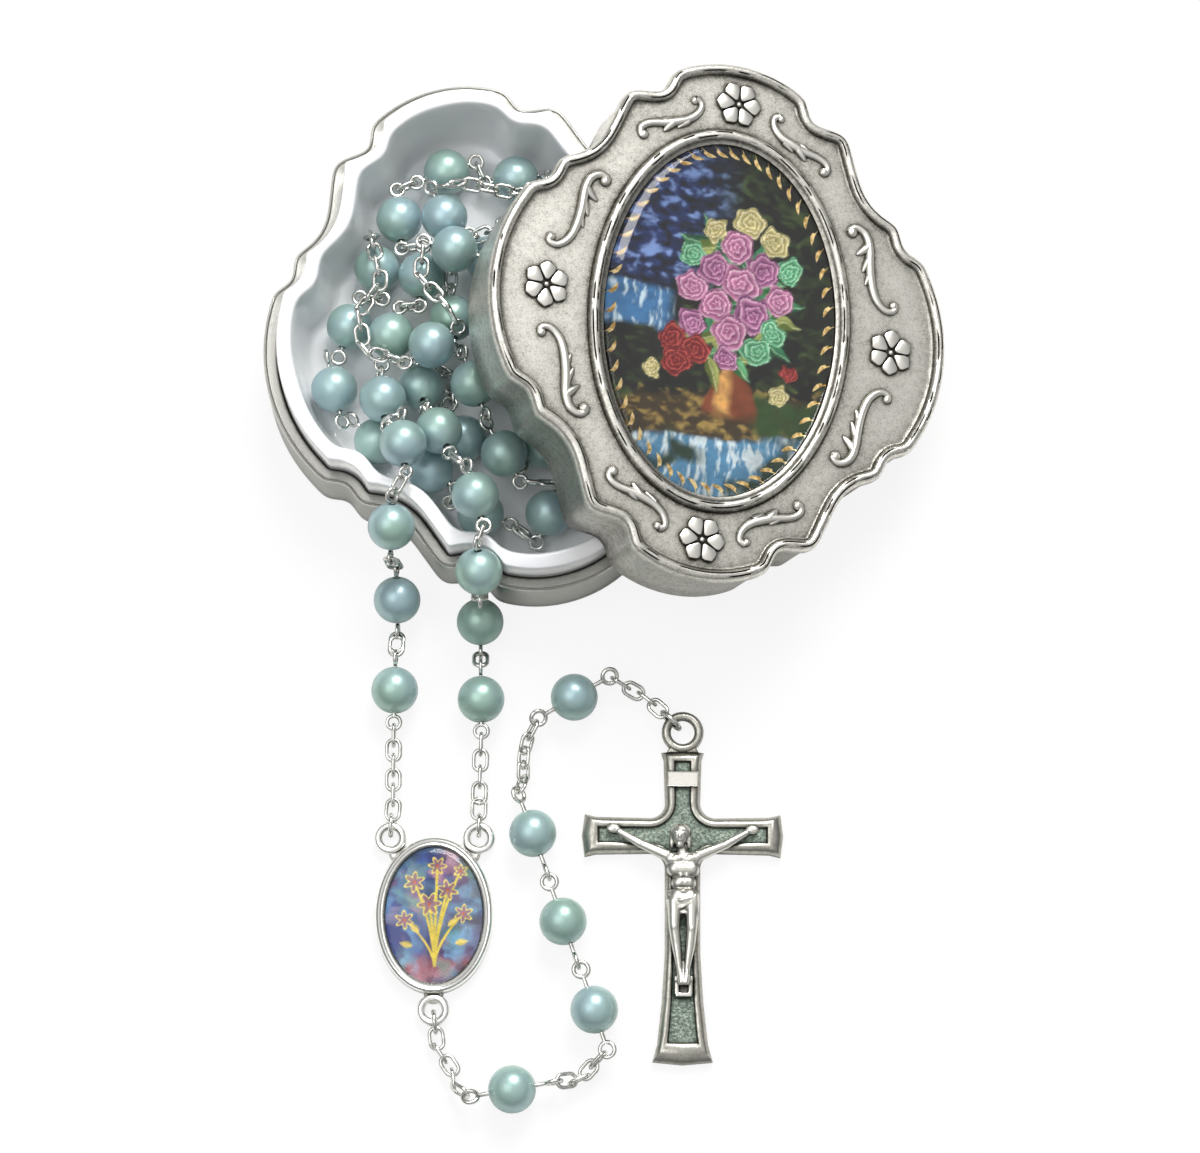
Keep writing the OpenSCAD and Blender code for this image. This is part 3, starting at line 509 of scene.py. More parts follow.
bmesh.ops.remove_doubles(bm, verts=bm.verts, dist=0.001)
bmesh.ops.recalc_face_normals(bm, faces=bm.faces)
bmesh.ops.translate(bm, verts=bm.verts, vec=(0, 0, field_z - stroke_sunk))
fitted("lid_scrolls", bm, "lid", relief_silver, turn=lid_turn, sharp=80)

# ---- Lid picture ----
# An oval printed card under the dome. Its print is a design of its own for this part: a
# bouquet of roses in a green and blue garden, painted in soft strokes.
card_rx = 15.3
card_ry = 23.3
card_t = 0.28


def soft_noise(x, y, size, seed):
    """Smooth value noise between 0 and 1 with features of the given size."""
    table = np.random.default_rng(seed).random((64, 64))
    u = x / size + 32
    v = y / size + 32
    i = np.floor(u).astype(int)
    j = np.floor(v).astype(int)
    a = (u - i) ** 2 * (3 - 2 * (u - i))
    b = (v - j) ** 2 * (3 - 2 * (v - j))
    low = table[i % 64, j % 64] * (1 - a) + table[(i + 1) % 64, j % 64] * a
    high = table[i % 64, (j + 1) % 64] * (1 - a) + table[(i + 1) % 64, (j + 1) % 64] * a
    return low * (1 - b) + high * b


def clouds(x, y, size, seed):
    """Three octaves of the noise, each turned so that no grid shows."""
    total = 0
    for k, weight in enumerate((0.55, 0.3, 0.15)):
        a = 0.6 + 1.1 * k
        total = total + weight * soft_noise(x * math.cos(a) - y * math.sin(a),
                                            x * math.sin(a) + y * math.cos(a),
                                            size / 2 ** k, seed + k)
    return total


def blend_in(paint, code, share):
    """Lays a colour over the paint by a share at each point."""
    share = np.clip(share, 0, 1)[:, None]
    return paint * (1 - share) + np.array(linear(code)[:3]) * share


def rose(paint, x, y, at, size, shades, seed):
    """A rose of curled petals: rings of overlapping arcs, dark between, lighter at their lips."""
    dx = x - at[0]
    dy = y - at[1]
    r = np.hypot(dx, dy) / size
    turn = np.arctan2(dy, dx)
    curl = r * 3.4 + 0.16 * np.sin(turn * 5 + r * 6 + seed) + turn / (2 * math.pi)
    lip = curl - np.floor(curl)
    edge = 1 + 0.09 * np.cos(turn * 5 + seed)
    inside = np.clip((edge - r) * 9, 0, 1)
    paint = blend_in(paint, shades[0], inside)
    paint = blend_in(paint, shades[1], inside * np.clip(lip * 1.4, 0, 1))
    return blend_in(paint, shades[2], inside * np.clip((lip - 0.62) * 3.2, 0, 1) * (0.4 + 0.6 * r))


def leaf(paint, x, y, at, turn, length, width, shades):
    """A pointed leaf with a pale rib."""
    dx = (x - at[0]) * math.cos(turn) + (y - at[1]) * math.sin(turn)
    dy = -(x - at[0]) * math.sin(turn) + (y - at[1]) * math.cos(turn)
    t = np.clip(dx / length, 0, 1)
    half = width * np.sin(math.pi * t ** 0.8)
    inside = np.clip((half - np.abs(dy)) * 4, 0, 1) * ((dx > 0) & (dx < length))
    paint = blend_in(paint, shades[0], inside)
    paint = blend_in(paint, shades[1], inside * np.clip(dy / width + 0.35, 0, 1))
    return blend_in(paint, shades[2], inside * np.clip(1 - np.abs(dy) * 9, 0, 1) * 0.8)


def garden(x, y):
    """The lid's bouquet, in millimetres on the card, with painted shade darkening it towards the
    card's edge.
    """
    x = x + (clouds(x, y, 2.2, 21) - 0.5) * 1.1
    y = y + (clouds(x, y, 2.2, 31) - 0.5) * 1.1
    broad = clouds(x, y, 6.0, 1)
    brush = clouds(x, y * 1.6, 1.3, 2)
    falls = clouds(x * 3, y * 0.8, 1.5, 3)
    paint = np.tile(np.array(linear("#1d1f19")[:3]), (len(x), 1))
    paint = blend_in(paint, "#4a5a2c", (brush - 0.5) * 3.5 * np.clip(1.2 - broad, 0, 1))
    sky = np.clip((y - 5 - x * 0.4 + broad * 4) / 6, 0, 1) * np.clip((2 - x) / 8, 0, 1)
    paint = blend_in(paint, "#2b3c70", sky * np.clip(brush * 3 - 0.7, 0, 1))
    paint = blend_in(paint, "#8098c8", sky * (brush - 0.56) * 5)
    pool = np.clip(3.6 - np.abs(y - 0.8 + broad * 2) * 1.2, 0, 1)
    pool = pool * np.clip((-x - 6 + broad) / 2, 0, 1)
    paint = blend_in(paint, "#4a80ae", pool)
    paint = blend_in(paint, "#d6e8ee", pool * (falls - 0.5) * 5)
    bank = np.clip((-y - 10.4 + x * 0.12 + brush * 2) * 1.6, 0, 1)
    paint = blend_in(paint, "#4c3c22", bank)
    paint = blend_in(paint, "#a58a4a", bank * (brush - 0.5) * 4)
    paint = blend_in(paint, "#3f5a2c", bank * (broad - 0.52) * 8)
    water = np.clip((-y - 16.2 + x * 0.1 + broad * 2) * 1.5, 0, 1)
    paint = blend_in(paint, "#5f98bc", water)
    paint = blend_in(paint, "#e6f2f4", water * (falls - 0.48) * 5)
    paint = blend_in(paint, "#24402e", water * (broad - 0.56) * 9)
    vase = np.clip((2.7 + 1.2 * np.sin((y + 15) * 0.5) - np.abs(x - 2.2)) * 2, 0, 1)
    vase = vase * np.clip(-y - 5.0, 0, 1) * np.clip(y + 13.0, 0, 1)
    paint = blend_in(paint, "#8a4a2a", vase)
    paint = blend_in(paint, "#e4b26a", vase * np.clip(1.4 - np.abs(x - 1.2), 0, 1) * (0.4 + brush))
    for k in range(40):
        at = (2.2 + 3.9 * math.cos(k * 1.7), 2.4 + 7.4 * math.sin(k * 2.3))
        shades = (("#22583a", "#4ba06e", "#b4e2ba"), ("#2f7440", "#7cc690", "#d2eec4"),
                  ("#66762c", "#bcc274", "#ece8b6"))[k % 3]
        paint = leaf(paint, x, y, at, 0.3 + k * 2.4, 5.4, 1.0, shades)
    cream = ("#97894a", "#ddd094", "#f6f0d2")
    blush = ("#8f4472", "#d893b6", "#f8dce8")
    mauve = ("#743a68", "#c07aa6", "#eec4da")
    ruby = ("#5c141c", "#a02a30", "#e0705e")
    mint = ("#2f7a50", "#7cc89a", "#cdeed2")
    for k, (at, size, shades) in enumerate((
            ((2.8, 13.6), 2.2, cream), ((-1.6, 11.6), 1.8, cream), ((6.4, 11.4), 2.0, cream),
            ((8.8, 8.0), 1.8, mint), ((-4.4, 8.0), 1.7, mint), ((1.6, 9.8), 2.1, blush),
            ((5.2, 7.4), 2.3, mauve), ((-1.4, 6.6), 2.3, mauve), ((2.4, 5.2), 2.6, blush),
            ((7.6, 3.8), 2.0, blush), ((-4.2, 3.6), 2.0, blush), ((-0.8, 1.8), 2.3, blush),
            ((4.2, 1.4), 2.5, mauve), ((1.4, -1.6), 2.5, blush), ((7.2, -0.6), 1.9, mint),
            ((-3.6, -1.2), 1.9, mauve), ((5.2, -3.4), 2.1, mint), ((-6.0, -3.6), 1.8, ruby),
            ((-3.0, -4.6), 2.0, ruby), ((-5.2, -6.6), 1.9, ruby), ((1.2, -5.2), 1.7, mauve),
            ((-8.4, -8.2), 1.3, cream), ((8.6, -8.6), 1.4, cream), ((9.6, -5.6), 1.2, ruby))):
        paint = rose(paint, x, y, at, size, shades, 1.7 * k)
    # Painted shade: the print darkens by up to 35 per cent towards the card's edge, where the
    # frame and the dome's edge shade it.
    edge = np.clip((np.hypot(x / card_rx, y / card_ry) - 0.72) / 0.3, 0, 1)
    return paint ** 1.12 * (0.66 + 0.66 * brush[:, None]) * (1 - 0.35 * edge[:, None])


def printed_card(name, rx, ry, t, z, step, design, body, material, node, turn):
    """An oval card of thickness t that carries its print as a colour at each point of its fine
    mesh."""
    bm = bmesh.new()
    bmesh.ops.create_grid(bm, x_segments=int(2 * rx / step), y_segments=int(2 * ry / step),
                          size=1.0)
    bmesh.ops.scale(bm, verts=bm.verts, vec=(rx, ry, 1))
    outside = [v for v in bm.verts if (v.co.x / rx) ** 2 + (v.co.y / ry) ** 2 > 1]
    bmesh.ops.delete(bm, geom=outside, context="VERTS")
    lip = [e for e in bm.edges if e.is_boundary]
    below = verts_in(bmesh.ops.extrude_edge_only(bm, edges=lip)["geom"])
    bmesh.ops.translate(bm, verts=below, vec=(0, 0, -t))
    bmesh.ops.holes_fill(bm, edges=[e for e in bm.edges if e.is_boundary], sides=0)
    bmesh.ops.recalc_face_normals(bm, faces=bm.faces)
    places = np.array([v.co[:] for v in bm.verts])
    bmesh.ops.translate(bm, verts=bm.verts, vec=(0, 0, z + t))
    made = fitted(name, bm, body, material, [node], turn)
    paint = np.ones((len(places), 4))
    paint[:, :3] = np.clip(design(places[:, 0], places[:, 1]), 0, 1)
    ink = made.data.color_attributes.new("print", "FLOAT_COLOR", "POINT")
    ink.data.foreach_set("color", paint.ravel())


# Litho print on gloss card: flat inks with a faint paper grain, slightly glossy.
print_ink, tree = new_material("litho_printed_card")
ink = add(tree, "Attribute", {"attribute_name": "print"})
grain = noise(tree, scale=5000.0, detail=2.0)
fleck = add(tree, "MapRange", Value=grain, To_Min=0.9, To_Max=1.1)
tinted = add(tree, "Mix", {"data_type": "RGBA", "blend_type": "MULTIPLY"}, Factor=1.0,
             in_6=ink.outputs["Color"], in_7=fleck)
shown(tree, add(tree, "BsdfPrincipled", Base_Color=tinted.outputs[2], Roughness=0.5,
                Specular_IOR_Level=0.2))
printed_card("lid_printed_picture", card_rx, card_ry, card_t, picture_z, step=0.16,
             design=garden, body="lid", material=print_ink, node="lid_picture", turn=lid_turn)

# ---- Gold border of the lid's picture ----
# Fifty-four small curved leaves of gold foil, stamped on the card along its edge, under the
# dome. The foil is thin, bright and a little creased.
foil, tree = new_material("stamped_gold_foil")
crease = noise(tree, scale=1400.0, detail=2.0)
glint = add(tree, "ValToRGB", stops=[(0.35, "#b98a3a"), (0.6, "#ffe3a0")], Fac=crease)
ripple = add(tree, "Bump", Height=crease, Strength=1.0, Distance=0.05 * mm)
shown(tree, add(tree, "BsdfPrincipled", Base_Color=glint, Metallic=1.0, Roughness=0.28,
                Normal=ripple))
border_rx = 14.55
border_ry = 22.4
leaf_count = 54
leaf_lean = math.radians(58)
leaf_sides = [(-1.1, 0.1), (-0.6, 0.4), (0.05, 0.5), (0.65, 0.26), (1.15, -0.3),
              (0.6, -0.06), (0.05, -0.04), (-0.5, -0.02)]
foil_t = 0.03
foil_gap = 0.01
bm = bmesh.new()
for k in range(leaf_count):
    a = 2 * math.pi * (k + 0.5) / leaf_count
    outward = math.atan2(border_rx * math.sin(a), border_ry * math.cos(a))
    turn = Matrix.Translation((border_rx * math.cos(a), border_ry * math.sin(a),
                               picture_z + card_t + foil_gap))
    turn = turn @ Matrix.Rotation(outward + leaf_lean, 4, "Z")
    raised_plate(bm, leaf_sides, turn, foil_t)
bmesh.ops.recalc_face_normals(bm, faces=bm.faces)
fitted("lid_gold_border", bm, "lid", foil, turn=lid_turn)

# ---- Lid dome ----
# Clear epoxy poured over the card: it stands in a low dome with a rounded edge, is glossy, and
# lets the print show through with faint waves.
resin, tree = new_material("clear_poured_epoxy")
flow = noise(tree, scale=160.0, detail=1.0)
swell = add(tree, "Bump", Height=flow, Strength=0.6, Distance=0.05 * mm)
tint = add(tree, "ValToRGB", stops=[(0.3, "#fbfcfc"), (0.7, "#ffffff")], Fac=flow)
shown(tree, add(tree, "BsdfPrincipled", Base_Color=tint, Roughness=0.03, IOR=1.36,
                Transmission_Weight=1.0, Normal=swell))


def oval(rx, ry, count=96):
    """An oval as evenly turned complex points."""
    turns = np.linspace(0, 2 * math.pi, count, endpoint=False)
    return rx * np.cos(turns) + 1j * ry * np.sin(turns)


def poured(name, rx, ry, z, edge_h, rise, body, node, turn):
    """A dome of resin on an oval edge, flat underneath and nearly flat on top."""
    foot = oval(rx, ry)
    last_lift = math.radians(84)
    rings = [at_height(foot, z)]
    for lift in np.linspace(0, last_lift, 14):
        h = z + edge_h + (rise - edge_h) * math.sin(lift) / math.sin(last_lift)
        rings.append(at_height(foot * math.cos(lift), h))
    fitted(name, grown(rings), body, resin, [node], turn, sharp=60)


dome_gap = 0.08
poured("lid_resin_dome", rx=15.38, ry=23.38, z=picture_z + card_t + dome_gap, edge_h=0.45,
       rise=1.5, body="lid", node="lid_dome", turn=lid_turn)

# ---- Beads ----
# Fifty-nine round six-millimetre pearl beads: glass or acrylic cores dipped in pearl lacquer,
# which is soft grey-green and grey-blue from bead to bead, bright where it faces the light.
pearl, tree = new_material("pearl_lacquered_bead")
drift = noise(tree, scale=105.0, detail=1.0)
cloud = noise(tree, scale=700.0, detail=2.0)
tone = add(tree, "MapRange", Value=cloud, To_Min=-0.08, To_Max=0.08)
mixed = add(tree, "Math", {"operation": "ADD"}, in_0=drift, in_1=tone)
lacquer = add(tree, "ValToRGB", stops=[(0.36, "#9ab9ad"), (0.5, "#a0bcba"),
                                       (0.64, "#9fbac0")], Fac=mixed)
skin_bump = add(tree, "Bump", Height=cloud, Strength=0.5, Distance=0.02 * mm)
shown(tree, add(tree, "BsdfPrincipled", Base_Color=lacquer, Metallic=0.4, Roughness=0.38,
                Coat_Weight=0.45, Coat_Roughness=0.2, Normal=skin_bump))


def finish_node(name, material):
    """Gives a node of the CAD its own finish."""
    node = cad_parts[name]
    node.data.materials.clear()
    node.data.materials.append(material)


for name in ["decade_%d_beads" % k for k in range(1, 6)] + [
        "our_father_beads", "drop_end_beads", "drop_hail_mary_beads"]:
    finish_node(name, pearl)

# ---- Pins and chains ----
# Bright silver-plated steel wire: a pin through each bead with an eye bent at both ends, and
# oval links between them. It is drawn round and hardly darkened.
wire, tree = new_material("bright_silver_plated_wire")
streak = noise(tree, scale=900.0, detail=3.0)
plate = add(tree, "ValToRGB", stops=[(0.3, "#b4b4ae"), (0.65, "#e6e6e2")], Fac=streak)
shine = add(tree, "MapRange", Value=streak, To_Min=0.1, To_Max=0.28)
shown(tree, add(tree, "BsdfPrincipled", Base_Color=plate, Metallic=1.0, Roughness=shine))
for name in ["decade_%d_pins" % k for k in range(1, 6)] + [
        "our_father_pins", "spacer_chains", "left_chain", "right_chain", "drop_pins",
        "drop_upper_chain", "drop_lower_chain"]:
    finish_node(name, wire)

# ---- Medal frame ----
# The centre that joins the loop to the drop: a cast oval with a rolled rim, and three lugs whose
# rings lie flat. It is silver plated and lightly darkened: tarnish in its hollows, and painted
# shade where it lies on the table and beside other parts.
medal_turn = Matrix.Translation((-27.1, -69.5, 0)) @ Matrix.Rotation(math.radians(-15), 4, "Z")
medal_rx = 7.5
medal_ry = 10.0
# From the seat of the card over the rim to the back, as how far inside the oval and how high
medal_profile = [(1.35, 1.02), (1.32, 1.85), (1.25, 2.0), (1.1, 2.12), (0.95, 2.02),
                 (0.82, 2.0), (0.66, 2.16), (0.45, 2.2), (0.22, 2.08), (0.06, 1.8), (0, 1.4),
                 (0, 0.6), (0.12, 0.15), (0.35, 0), (2.5, 0)]
lug_places = ((-5.6, 9.9), (5.6, 9.9), (0, -12))
lug_r = 1.58
lug_wire_r = 0.5
lug_z = 1.2
boss_z = 0.75
boss_in = 2.1


def wire_ring(bm, x, y, z, r, wire_r, sides, steps):
    """A ring of round wire that lies flat, spun about its middle."""
    circle = bmesh.ops.create_circle(bm, segments=sides, radius=wire_r, matrix=(
        Matrix.Translation((x + r, y, z)) @ Matrix.Rotation(math.pi / 2, 4, "X")))["verts"]
    bmesh.ops.spin(bm, geom=circle + edges_between(bm.edges, circle), cent=(x, y, z),
                   axis=(0, 0, 1), angle=2 * math.pi, steps=steps, use_merge=True)


medal_silver = antique_silver("antiqued_silver_plating_medal", patina_and_shade_reach=0.6, worn="#f3f2ee",
                              dull="#c6c4bd", stipple=0.25, rough=0.2, relief=0.006,
                              dark=0.4, light=0.95, uneven=0.05, gritty=0.04)
bm = grown([at_height(oval(medal_rx - d, medal_ry - d), z) for d, z in medal_profile])
for x, y in lug_places:
    wire_ring(bm, x, y, lug_z, lug_r, lug_wire_r, sides=16, steps=36)
    outward = Vector((x, y, 0)).normalized()
    bmesh.ops.create_cone(bm, cap_ends=True, segments=20, radius1=1.25, radius2=0.95, depth=1.2,
                          matrix=Matrix.Translation(Vector((x, y, boss_z)) - outward * boss_in))
bmesh.ops.remove_doubles(bm, verts=bm.verts, dist=0.0005)
bmesh.ops.recalc_face_normals(bm, faces=bm.faces)
fitted("medal_metal_frame", bm, "root", medal_silver, ["medal_frame"],
       medal_turn)

# ---- Medal picture ----
# A small printed card in the medal: gold sprigs on a night-blue and violet ground, a design of
# its own for this part. Each sprig is x, y and the size of its flower.
sprigs = [(-0.6, 1.4, 1.5), (1.7, 3.2, 1.3), (-2.5, 4.2, 1.3), (0.4, 6.3, 1.1),
          (-3.7, -0.6, 1.15), (3.7, 0.2, 1.15), (3.3, 5.6, 0.85)]
root = (0.1, -6.6)


def night_garden(x, y):
    """The medal's sprigs, in millimetres on the card."""
    n1 = clouds(x, y, 2.6, 11)
    n2 = clouds(x, y, 0.7, 12)
    paint = np.tile(np.array(linear("#2d3d86")[:3]), (len(x), 1))
    paint = blend_in(paint, "#3f63b4", (n1 - 0.5) * 3)
    paint = blend_in(paint, "#6a4b78", np.clip((x - 0.5 + n1 * 2) / 3, 0, 1) * 0.9)
    paint = blend_in(paint, "#7f8fae", np.clip(1 - np.hypot(x - 0.8, y + 0.5) / 3.6, 0, 1))
    paint = blend_in(paint, "#5d9a94", np.clip(1.2 - np.hypot(x - 2.4, y + 2.8) / 1.9, 0, 1))
    paint = blend_in(paint, "#9a3c34", np.clip((-y - 5.4 + n1 * 1.2) / 1.2, 0, 1) * 0.85)
    for ink, seed in (("#d09aa8", 41), ("#6fa894", 61), ("#7fb4dc", 71), ("#1e2450", 51)):
        patch = clouds(x + (n2 - 0.5) * 1.5, y, 2.4, seed)
        paint = blend_in(paint, ink, np.clip((patch - 0.5) * 4, 0, 1) * 0.7)
    for cx, cy, _ in sprigs:
        t = np.clip((y - root[1]) / (cy - root[1]), 0, 1)
        away = np.abs(x - root[0] - (cx - root[0]) * t ** 1.8)
        near = np.clip((0.2 - away) * 12, 0, 1) * (y > root[1]) * (y < cy)
        paint = blend_in(paint, "#f0d64e", near)
    for cx, cy, size in sprigs:
        r = np.hypot(x - cx, y - cy)
        turn = np.arctan2(y - cy, x - cx)
        edge = size * (0.74 + 0.26 * np.cos(6 * turn + cx))
        paint = blend_in(paint, "#a4707c", np.clip((edge - r) * 6, 0, 1) * 0.8)
        paint = blend_in(paint, "#f8e468", np.clip((0.16 - np.abs(r - edge)) * 12, 0, 1))
        paint = blend_in(paint, "#d85a3c", np.clip((0.24 - r) * 8, 0, 1))
    for cx, cy, turn in ((-1.8, -2.2, 2.4), (1.7, -1.4, 0.6), (-2.6, -3.9, 2.9), (2.6, -3.6, 0.2)):
        paint = leaf(paint, x, y, (cx, cy), turn, 1.9, 0.5, ("#e8c83c", "#f4dd68", "#fff2a0"))
    hatch = 1 + 0.12 * np.sin((0.6 * x + y) * 14)
    return paint * (0.7 + 0.6 * n2[:, None]) * hatch[:, None]


printed_card("medal_printed_picture", rx=6.12, ry=8.62, t=0.18, z=1.0, step=0.1,
             design=night_garden, body="root", material=print_ink, node="medal_picture",
             turn=medal_turn)

# ---- Medal dome ----
# The same clear resin poured over the medal's card, up to its rim. It stands in a low dome
# with a rounded edge.
poured("medal_resin_dome", rx=6.14, ry=8.64, z=1.22, edge_h=0.55, rise=1.25, body="root",
       node="medal_dome", turn=medal_turn)

# ---- Cross ----
# A cast cross with flared ends: a wide bevelled border round a sunk panel, which is stippled
# and filled with grey-green patina. Its eyelet lies flat at the top.
cross_place = Matrix.Translation((9.5, -54.9, 0)) @ Matrix.Rotation(math.radians(-15.3), 4, "Z")
cross_t = 1.9
arm_y = 13.3
cross_l = 42.5
top_y = 2.5
half_span = 12.6
half_wide = 2.25
eyelet_r = 2.1
eyelet_wire_r = 0.6
eyelet_z = 1.3


def cross_outline(side, end):
    """The cross's outline with its sides and its ends moved in. The ends flare and bow out, and
    the panel is slimmer in the arms and the top than in the foot."""
    slim = half_wide - 1.27 * side
    stem = half_wide - side
    upper = 1.9 + 1.3 * side
    lower = 1.9 + 0.4 * side
    bow = max(0.35 - 0.35 * end, 0)
    flare = 2.72 - 1.7 * side
    throat = 2.38 - 1.4 * side
    tip_x = half_span - 0.15 - end
    throat_x = half_span - 1.6 - end
    head_y = -top_y - 0.1 - 0.7 * end
    foot_y = -cross_l + 0.4 + 1.3 * end
    arcs = [math.radians(90 / 7 * k) for k in range(8)]
    right = [(flare, head_y), (2.42 - 1.4 * side, -top_y - 1 - end)]
    right += [(slim + upper + upper * math.cos(math.pi + a),
               -arm_y + slim + upper + upper * math.sin(math.pi + a)) for a in arcs]
    right += [(throat_x, -arm_y + throat), (tip_x, -arm_y + flare), (tip_x + bow, -arm_y),
              (tip_x, -arm_y - flare), (throat_x, -arm_y - throat)]
    right += [(stem + lower + lower * math.cos(math.pi / 2 + a),
               -arm_y - stem - lower + lower * math.sin(math.pi / 2 + a)) for a in arcs]
    right += [(stem, -cross_l + 14), (2.62 - 1.15 * side, -cross_l + 8),
              (3.2 - 1.45 * side, -cross_l + 2.6 + 1.1 * end), (3.8 - 1.84 * side, foot_y)]
    return ([(0, head_y + bow)] + right + [(0, foot_y - bow)]
            + [(-x, y) for x, y in right[::-1]])


# The border darkens in its hollows as tarnish, and where it lies on the table and beside the
# figure as painted shade.
cross_silver = antique_silver("antiqued_silver_plating_cross", patina_and_shade_reach=0.8, worn="#b1afa6",
                              dull="#7b7970", patina_and_shade="#3c3b34", stipple=0.2, rough=0.28,
                              relief=0.012, dark=0.5, light=1.04, uneven=0.14, gritty=0.1)
# How far the sides and the ends are moved in, and how high
cross_profile = [(0.2, 0.2, 0), (0, 0, 0.25), (0, 0, 1.0), (0.06, 0.1, 1.2),
                 (0.2, 0.34, 1.5), (0.4, 0.68, 1.76), (0.6, 1.0, 1.88), (0.78, 1.3, cross_t),
                 (0.94, 1.6, 1.82), (1.04, 1.78, 1.62), (1.1, 1.88, 1.42)]


def cross_rings(profile):
    """The cross's outline at each level of a profile."""
    return [[Vector((x, y, z)) for x, y in cross_outline(side, end)] for side, end, z in profile]


bm = grown(cross_rings(cross_profile))
wire_ring(bm, 0, 0, eyelet_z, eyelet_r, eyelet_wire_r, sides=18, steps=40)
neck_sides = [(-2.1, -2.7), (2.1, -2.7), (1.75, -2.05), (1.5, -1.6), (-1.5, -1.6),
              (-1.75, -2.05)]
neck_z = 0.3
neck_h = 1.35
neck_top = raised_plate(bm, neck_sides, Matrix.Translation((0, 0, neck_z)), neck_h)
rounded(bm, edges_between(bm.edges, neck_top), offset=0.3, segments=3)
bmesh.ops.remove_doubles(bm, verts=bm.verts, dist=0.0005)
bmesh.ops.recalc_face_normals(bm, faces=bm.faces)
fitted("cross_casting", bm, "crucifix", cross_silver,
       ["crucifix_cross"], cross_place, sharp=30)

# ---- Cross panel ----
# The sunk panel inside the border: the same casting, coarsely stippled and blackened to a
# grey-green, with its high grains rubbed paler. It is darker still beside the border, as tarnish,
# and under the figure, as painted shade.
panel_green = antique_silver("green_patinated_silver_panel", patina_and_shade_reach=0.6, stipple=0.34,
                             worn="#8f9a8e", dull="#626c63", patina_and_shade="#3a433c", rough=0.42,
                             relief=0.14, dark=0.6, light=1.2, uneven=0.06, gritty=0.2)
panel_profile = [(1.1, 1.88, 1.3), (1.1, 1.88, 1.46)]
fitted("cross_panel", grown(cross_rings(panel_profile)), "crucifix",
       panel_green, turn=cross_place)

# ---- Corpus ----
# The small cast figure on the cross, with a head of a plain and calm design: limbs, trunk,
# loincloth and foot block run together as one casting, bright on its raised parts, darker in its
# hollows as tarnish and where it lies close on the cross as painted shade.
corpus_silver = antique_silver("antiqued_silver_plating_figure", patina_and_shade_reach=1.1, worn="#d6d4cc",
                               dull="#85837b", patina_and_shade="#26251f", stipple=0.1, rough=0.3,
                               relief=0.006, dark=0.46, light=1.0, uneven=0.05, gritty=0.05)
# Limbs and trunk as tapered strokes: from, to, and the radius at each end
limbs = [
    ((-2.0, -16.1, 2.6), (-5.4, -14.6, 2.65), 0.78, 0.55),
    ((-5.4, -14.6, 2.65), (-8.1, -13.0, 2.35), 0.58, 0.36),
    ((2.0, -16.1, 2.6), (5.4, -14.7, 2.65), 0.78, 0.55),
    ((5.4, -14.7, 2.65), (8.1, -13.1, 2.35), 0.58, 0.36),
    ((-1.5, -16.5, 2.4), (1.5, -16.5, 2.4), 0.95, 0.95),
    ((-1.0, -17.8, 2.5), (1.1, -17.8, 2.5), 1.1, 1.1),
    ((-0.5, -19.6, 2.35), (0.7, -19.6, 2.35), 1.0, 1.0),
    ((-0.7, -21.4, 2.5), (0.9, -21.4, 2.5), 1.2, 1.2),
    ((-1.0, -22.0, 2.7), (-1.1, -25.2, 3.0), 1.05, 0.72),
    ((1.1, -22.0, 2.7), (1.1, -25.4, 3.0), 1.05, 0.72),
    ((-1.1, -25.2, 3.0), (-0.8, -27.4, 2.6), 0.72, 0.66),
    ((1.1, -25.4, 3.0), (0.9, -27.6, 2.6), 0.72, 0.66),
    ((-0.8, -27.4, 2.6), (-0.4, -30.6, 2.4), 0.66, 0.38),
    ((0.9, -27.6, 2.6), (0.5, -30.6, 2.4), 0.66, 0.38),
    ((-0.4, -30.6, 2.4), (-0.2, -32.2, 2.65), 0.4, 0.46),
    ((0.5, -30.6, 2.4), (0.35, -32.2, 2.65), 0.4, 0.46),
    ((-0.2, -15.0, 2.6), (0, -16.0, 2.5), 0.65, 0.8)]
# The cloth's folds and knot, and the lower ribs, in the same way
folds = [((-1.9, -20.7, 2.75), (0, -20.8, 3.6), 0.27, 0.27),
         ((0, -20.8, 3.6), (1.9, -20.9, 2.8), 0.27, 0.27),
         ((-1.9, -21.6, 3.05), (-0.3, -22.0, 3.8), 0.22, 0.2),
         ((-0.3, -22.0, 3.8), (1.4, -21.5, 3.5), 0.2, 0.24),
         ((-1.8, -22.5, 3.0), (-0.2, -22.9, 3.6), 0.22, 0.2),
         ((-0.2, -22.9, 3.6), (1.4, -22.0, 3.5), 0.2, 0.22),
         ((-1.5, -23.2, 2.95), (0.1, -23.5, 3.3), 0.24, 0.22),
         ((0.1, -23.5, 3.3), (1.7, -23.2, 3.0), 0.22, 0.24),
         ((1.5, -21.4, 3.45), (1.85, -24.1, 3.0), 0.36, 0.22),
         ((-1.4, -18.5, 2.9), (-0.2, -17.7, 3.3), 0.26, 0.26),
         ((1.6, -18.5, 2.9), (0.3, -17.7, 3.3), 0.26, 0.26)]
